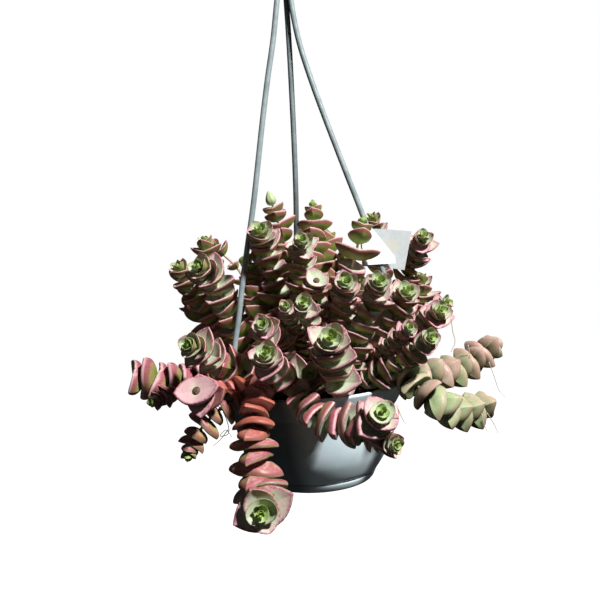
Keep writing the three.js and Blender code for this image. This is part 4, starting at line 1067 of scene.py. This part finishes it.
def build_arm(which):
    """An arm with the tab at its end and the peg through the collar."""
    skin = Skin()
    points = arm_points(which, 80)
    tube(skin, points, [ARM_RADIUS] * len(points), 20)
    collar_box(skin, ARM_AZIMUTHS[which], TAB_SIZE, TAB_OFFSET)
    collar_box(skin, ARM_AZIMUTHS[which], (4.6, PEG_SIZE, PEG_SIZE), -1)
    skin.make(f"fine_arm_{which}", [hanger_look], "hanger", [f"hanger_arm_{which}"])


# The hub and the hook, with heights from the pot's rim
HUB_TOP = 300.0
HUB_BOTTOM = 287.0
HUB_RADIUS = 10.6
HOOK_WIRE = 2.4
HOOK_INSIDE = 9.0


def build_hook():
    """The hub that the arms meet in, and the hook above it."""
    skin = Skin()
    hub = [(0.01, HUB_BOTTOM), (HUB_RADIUS - 0.7, HUB_BOTTOM), (HUB_RADIUS, HUB_BOTTOM + 0.7),
           (HUB_RADIUS, HUB_BOTTOM + 4.6), (HUB_RADIUS - 0.5, HUB_BOTTOM + 5.6), (7.2, HUB_TOP - 4),
           (4.4, HUB_TOP - 0.6), (3.6, HUB_TOP), (0.01, HUB_TOP)]
    lathe(skin, hub, 48)
    bend = HOOK_INSIDE + HOOK_WIRE
    points = [(x, 0, HUB_TOP + rise) for x, rise in ((0, -3), (0.3, 1.5), (1, 4), (4.6, 8.3))]
    for angle in np.radians(range(-40, 201, 8)):
        points.append((bend * math.cos(angle), 0, HANG_HEIGHT - HOOK_INSIDE + bend * math.sin(angle)))
    tube(skin, points, [HOOK_WIRE] * (len(points) - 1) + [0.8 * HOOK_WIRE], 20)
    skin.make("fine_hook", [hanger_look], "hanger", ["hanger_hook"])


# The tag's panels as seen from the front, about the arm
TAG_TILT = math.radians(6.4)
TAG_THICKNESS = 0.8
TAG_FRONT = [(-13, -12), (10.5, -12), (10, -7), (-6, 16), (-13, 16)]
TAG_REAR = [(-13, -12), (5, -14.5), (17, -17), (24, 10.5), (-1, 14), (-13, 13.5)]
TAG_DISC = np.array([8.6, 0.5])
TAG_DISC_RADIUS = 5.7
TAG_RINGS = 16
TAG_STEPS = 12


def build_tag():
    """Two panels and the fold between them, cut finely enough for the disc on the rear one."""
    skin = Skin("rear", "disc")
    half = ARM_RADIUS + 0.3 + TAG_THICKNESS / 2
    tilt = np.array([[1, 0, 0], [0, math.cos(TAG_TILT), -math.sin(TAG_TILT)],
                     [0, math.sin(TAG_TILT), math.cos(TAG_TILT)]])

    def placed(points):
        return np.asarray(points) @ tilt + TAG_MIDDLE

    for outline, offset, rear in ((TAG_FRONT, -half, 0.0), (TAG_REAR, half, 1.0)):
        corners = np.array(outline, float)
        shares = np.arange(TAG_STEPS)[:, None] / TAG_STEPS
        edge = np.concatenate([at + (after - at) * shares
                               for at, after in zip(corners, np.roll(corners, -1, 0))])
        middle = TAG_DISC if rear else edge.mean(0)
        sizes = np.arange(1, TAG_RINGS + 1) / TAG_RINGS
        low, high = offset - TAG_THICKNESS / 2, offset + TAG_THICKNESS / 2
        rings = [(size, low) for size in sizes] + [(size, high) for size in sizes[::-1]]
        flat = np.concatenate([*(middle + (edge - middle) * size for size, depth in rings), [middle, middle]])
        depths = np.append(np.repeat([depth for size, depth in rings], len(edge)), [low, high])
        disc = np.linalg.norm(flat - TAG_DISC, axis=1) / TAG_DISC_RADIUS
        places = placed(np.column_stack([flat[:, 0], depths, flat[:, 1]]))
        skin.add(places, dish_faces(len(rings), len(edge)), rear=rear, disc=disc)
    fold = placed([[TAG_THICKNESS / 2 - 13, 0, 0.75]])[0]
    grid_box(skin, fold, tilt, (TAG_THICKNESS, 2 * half + TAG_THICKNESS, 25.5), rear=0.0, disc=2.0)
    skin.make("fine_tag", [tag_look], "tag", ["plant_tag"], smooth=False)


# How far the soil stays off the pot's wall
SOIL_SLACK = 0.6
SOIL_RINGS = 34
SOIL_SIDES = 120
CRUMBS = 420
CRUMB_CORNERS = np.array([[1, 0, 0], [0, 1, 0], [-1, 0, 0], [0, -1, 0], [0, 0, 1], [0, 0, -1]])
CRUMB_FACES = [(0, 1, 4), (1, 2, 4), (2, 3, 4), (3, 0, 4), (1, 0, 5), (2, 1, 5), (3, 2, 5), (0, 3, 5)]


def build_soil():
    """The soil with an uneven top, and crumbs lying on it."""
    random = np.random.default_rng(11)
    low_radius, low = POT_INNER[0]
    wall = [(r - SOIL_SLACK, z) for r, z in POT_INNER if low < z < SOIL_TOP]
    top_radius = radius_at(POT_INNER, SOIL_TOP) - SOIL_SLACK
    profile = [(0.01, low + 0.3), (low_radius - SOIL_SLACK, low + 0.3), *wall]
    profile += [(top_radius * k / SOIL_RINGS + 0.01, SOIL_TOP) for k in range(SOIL_RINGS, -1, -1)]
    angles = turns(SOIL_SIDES)
    rows = []
    for row, (radius, height) in enumerate(profile):
        if row > len(profile) - SOIL_RINGS - 1 and radius > 1:
            swell = 0.5 * np.sin(3 * angles + radius / 6) + 0.4 * np.sin(7 * angles - radius / 4)
            height = height + swell * 0.6 + random.uniform(-0.45, 0.25, SOIL_SIDES)
        rows.append(circle(radius, height, angles))
    skin = Skin()
    skin.add(np.concatenate(rows), grid_faces(len(rows), SOIL_SIDES))
    skin.make("fine_soil", [soil_look], "soil", ["soil"])

    crumbs = Skin("pale")
    for _ in range(CRUMBS):
        at = around(random.uniform(0, 360), top_radius * math.sqrt(random.uniform(0, 0.97)), SOIL_TOP + 0.5)
        size = random.uniform(0.5, 1.9)
        shape = CRUMB_CORNERS * random.uniform(0.5, 1.0, (6, 3)) * size
        shape += random.uniform(-0.25, 0.25, (6, 3)) * size
        turned = shape @ np.linalg.qr(random.normal(size=(3, 3)))[0]
        crumbs.add(at + turned, CRUMB_FACES, pale=random.random())
    crumbs.make("soil_crumbs", [crumb_look], "soil", smooth=False)


# Aerial roots that show against the background: the depth of each one's first place, and its places from the
# front. Each next place is one drift further back.
AERIAL_ROOTS = [
    (-58, [(94.3, 46), (95.3, 36.5), (96.5, 29.6), (93.6, 22.9)]),
    (-20, [(113.2, 21.2), (114.4, 11.6)]),
    (-14, [(129.2, 6.8), (132.6, -3.9), (135.9, -14.6), (140.3, -20.2)]),
    (-72, [(-65.9, 3.1), (-60.5, -2.7), (-57.4, -12.4), (-57.9, -19.2), (-63.3, -20.4), (-59.2, -16.8),
           (-55.7, -21.9)]),
    (-74, [(-57.3, -15.5), (-63, -21.9), (-68, -25.8)]),
    (-44, [(114.6, -22.2), (116.4, -31), (118.5, -36.2)]),
    (-42, [(119.2, -23.7), (123.9, -32), (126.5, -38.7)]),
    (-44, [(112.5, -22.1), (108.2, -29)]),
    (-118, [(48.4, 1.9), (50.5, -4.4), (52.7, -8.3)]),
]
ROOT_DRIFT = 0.7


def build_roots():
    skin = Skin()
    for depth, places in AERIAL_ROOTS:
        places = [np.array([x, depth + ROOT_DRIFT * i, height]) for i, (x, height) in enumerate(places)]
        path = curve(places, 8 * (len(places) - 1))
        tube(skin, path, np.linspace(0.32, 0.16, len(path)), 6)
    skin.make("aerial_roots", [root_look], "leaf")


build_pot()
build_pot_floor()
build_hook()
for which in ARM_AZIMUTHS:
    build_arm(which)
build_tag()
build_soil()
build_roots()


# Camera, light and floor, which aren't part of the object

FOCAL_PIXELS = 745
IMAGE_PIXELS = 600
SENSOR = 36
CAMERA_PLACE = Vector((-5, -550, 104 - HANG_HEIGHT)) * MM
CAMERA_TARGET = Vector((-5, 0, 60 - HANG_HEIGHT)) * MM
CAMERA_ROLL = -3.8

camera_data = bpy.data.cameras.new("camera")
camera_data.sensor_width = SENSOR
camera_data.lens = SENSOR * FOCAL_PIXELS / IMAGE_PIXELS
camera_data.clip_start = 0.01
camera = new_object("camera", camera_data)
turn = (CAMERA_TARGET - CAMERA_PLACE).to_track_quat("-Z", "Y").to_matrix()
turn = turn @ Matrix.Rotation(math.radians(CAMERA_ROLL), 3, "Z")
camera.matrix_world = Matrix.Translation(CAMERA_PLACE) @ turn.to_4x4()
bpy.context.scene.camera = camera


def add_light(name, place, size, power, colour):
    data = bpy.data.lights.new(name, "AREA")
    data.shape = "DISK"
    data.size = size
    data.energy = power
    data.color = colour
    light = new_object(name, data)
    light.location = place
    aim = Vector((0, 0, -HANG_HEIGHT * MM)) - light.location
    light.rotation_euler = aim.to_track_quat("-Z", "Y").to_euler()


KEY_AZIMUTH = math.radians(-45)
KEY_HEIGHT = math.radians(49)
KEY_DISTANCE = 2.0
key_way = Vector((math.cos(KEY_AZIMUTH) * math.cos(KEY_HEIGHT), math.sin(KEY_AZIMUTH) * math.cos(KEY_HEIGHT),
                  math.sin(KEY_HEIGHT)))
add_light("key", Vector((0, 0, -HANG_HEIGHT * MM)) + KEY_DISTANCE * key_way, 0.20, 88, (1.0, 0.98, 0.95))
add_light("fill", Vector((-1.1, -0.9, 0.15)), 1.0, 0.6, (0.95, 0.98, 1.0))


def camera_sees(tree, seen, lit):
    """A number that is one value where the camera looks straight at it and another as light on the object."""
    path = tree.nodes.new("ShaderNodeLightPath")
    share = tree.nodes.new("ShaderNodeMapRange")
    tree.links.new(path.outputs["Is Camera Ray"], share.inputs["Value"])
    share.inputs["To Min"].default_value = lit
    share.inputs["To Max"].default_value = seen
    return share.outputs[0]


WORLD_LIGHT = 0.02
world = bpy.data.worlds.new("studio")
world.use_nodes = True
background = world.node_tree.nodes["Background"]
background.inputs["Color"].default_value = (1, 1, 1, 1)
world.node_tree.links.new(camera_sees(world.node_tree, 1.0, WORLD_LIGHT), background.inputs["Strength"])
bpy.context.scene.world = world
bpy.context.scene.view_settings.view_transform = "Standard"
bpy.context.scene.view_settings.look = "None"


def floor_material():
    g = Graph("floor")
    spots = g.noise(3, 3, 0.6)
    g.put(g.shader.inputs["Emission Color"], (1, 1, 1))
    g.put(g.shader.inputs["Emission Strength"], camera_sees(g.tree, 1.0, 0.0))
    pale = g.fade(spots, (0.88, 0.88, 0.88), (0.92, 0.92, 0.92))
    return g.finish(g.mix(camera_sees(g.tree, 1.0, 0.0), (0.05, 0.05, 0.05), pale), 0.9)


FLOOR_SIZE = 6.0
FLOOR_DROP = 0.9
low = cad_box[0][2] - FLOOR_DROP
corners = [(x * FLOOR_SIZE, y * FLOOR_SIZE, low) for x, y in ((-1, -1), (1, -1), (1, 1), (-1, 1))]
floor_mesh = bpy.data.meshes.new("floor")
floor_mesh.from_pydata(corners, [], [(0, 1, 2, 3)])
floor = new_object("floor", floor_mesh)
floor_mesh.materials.append(floor_material())
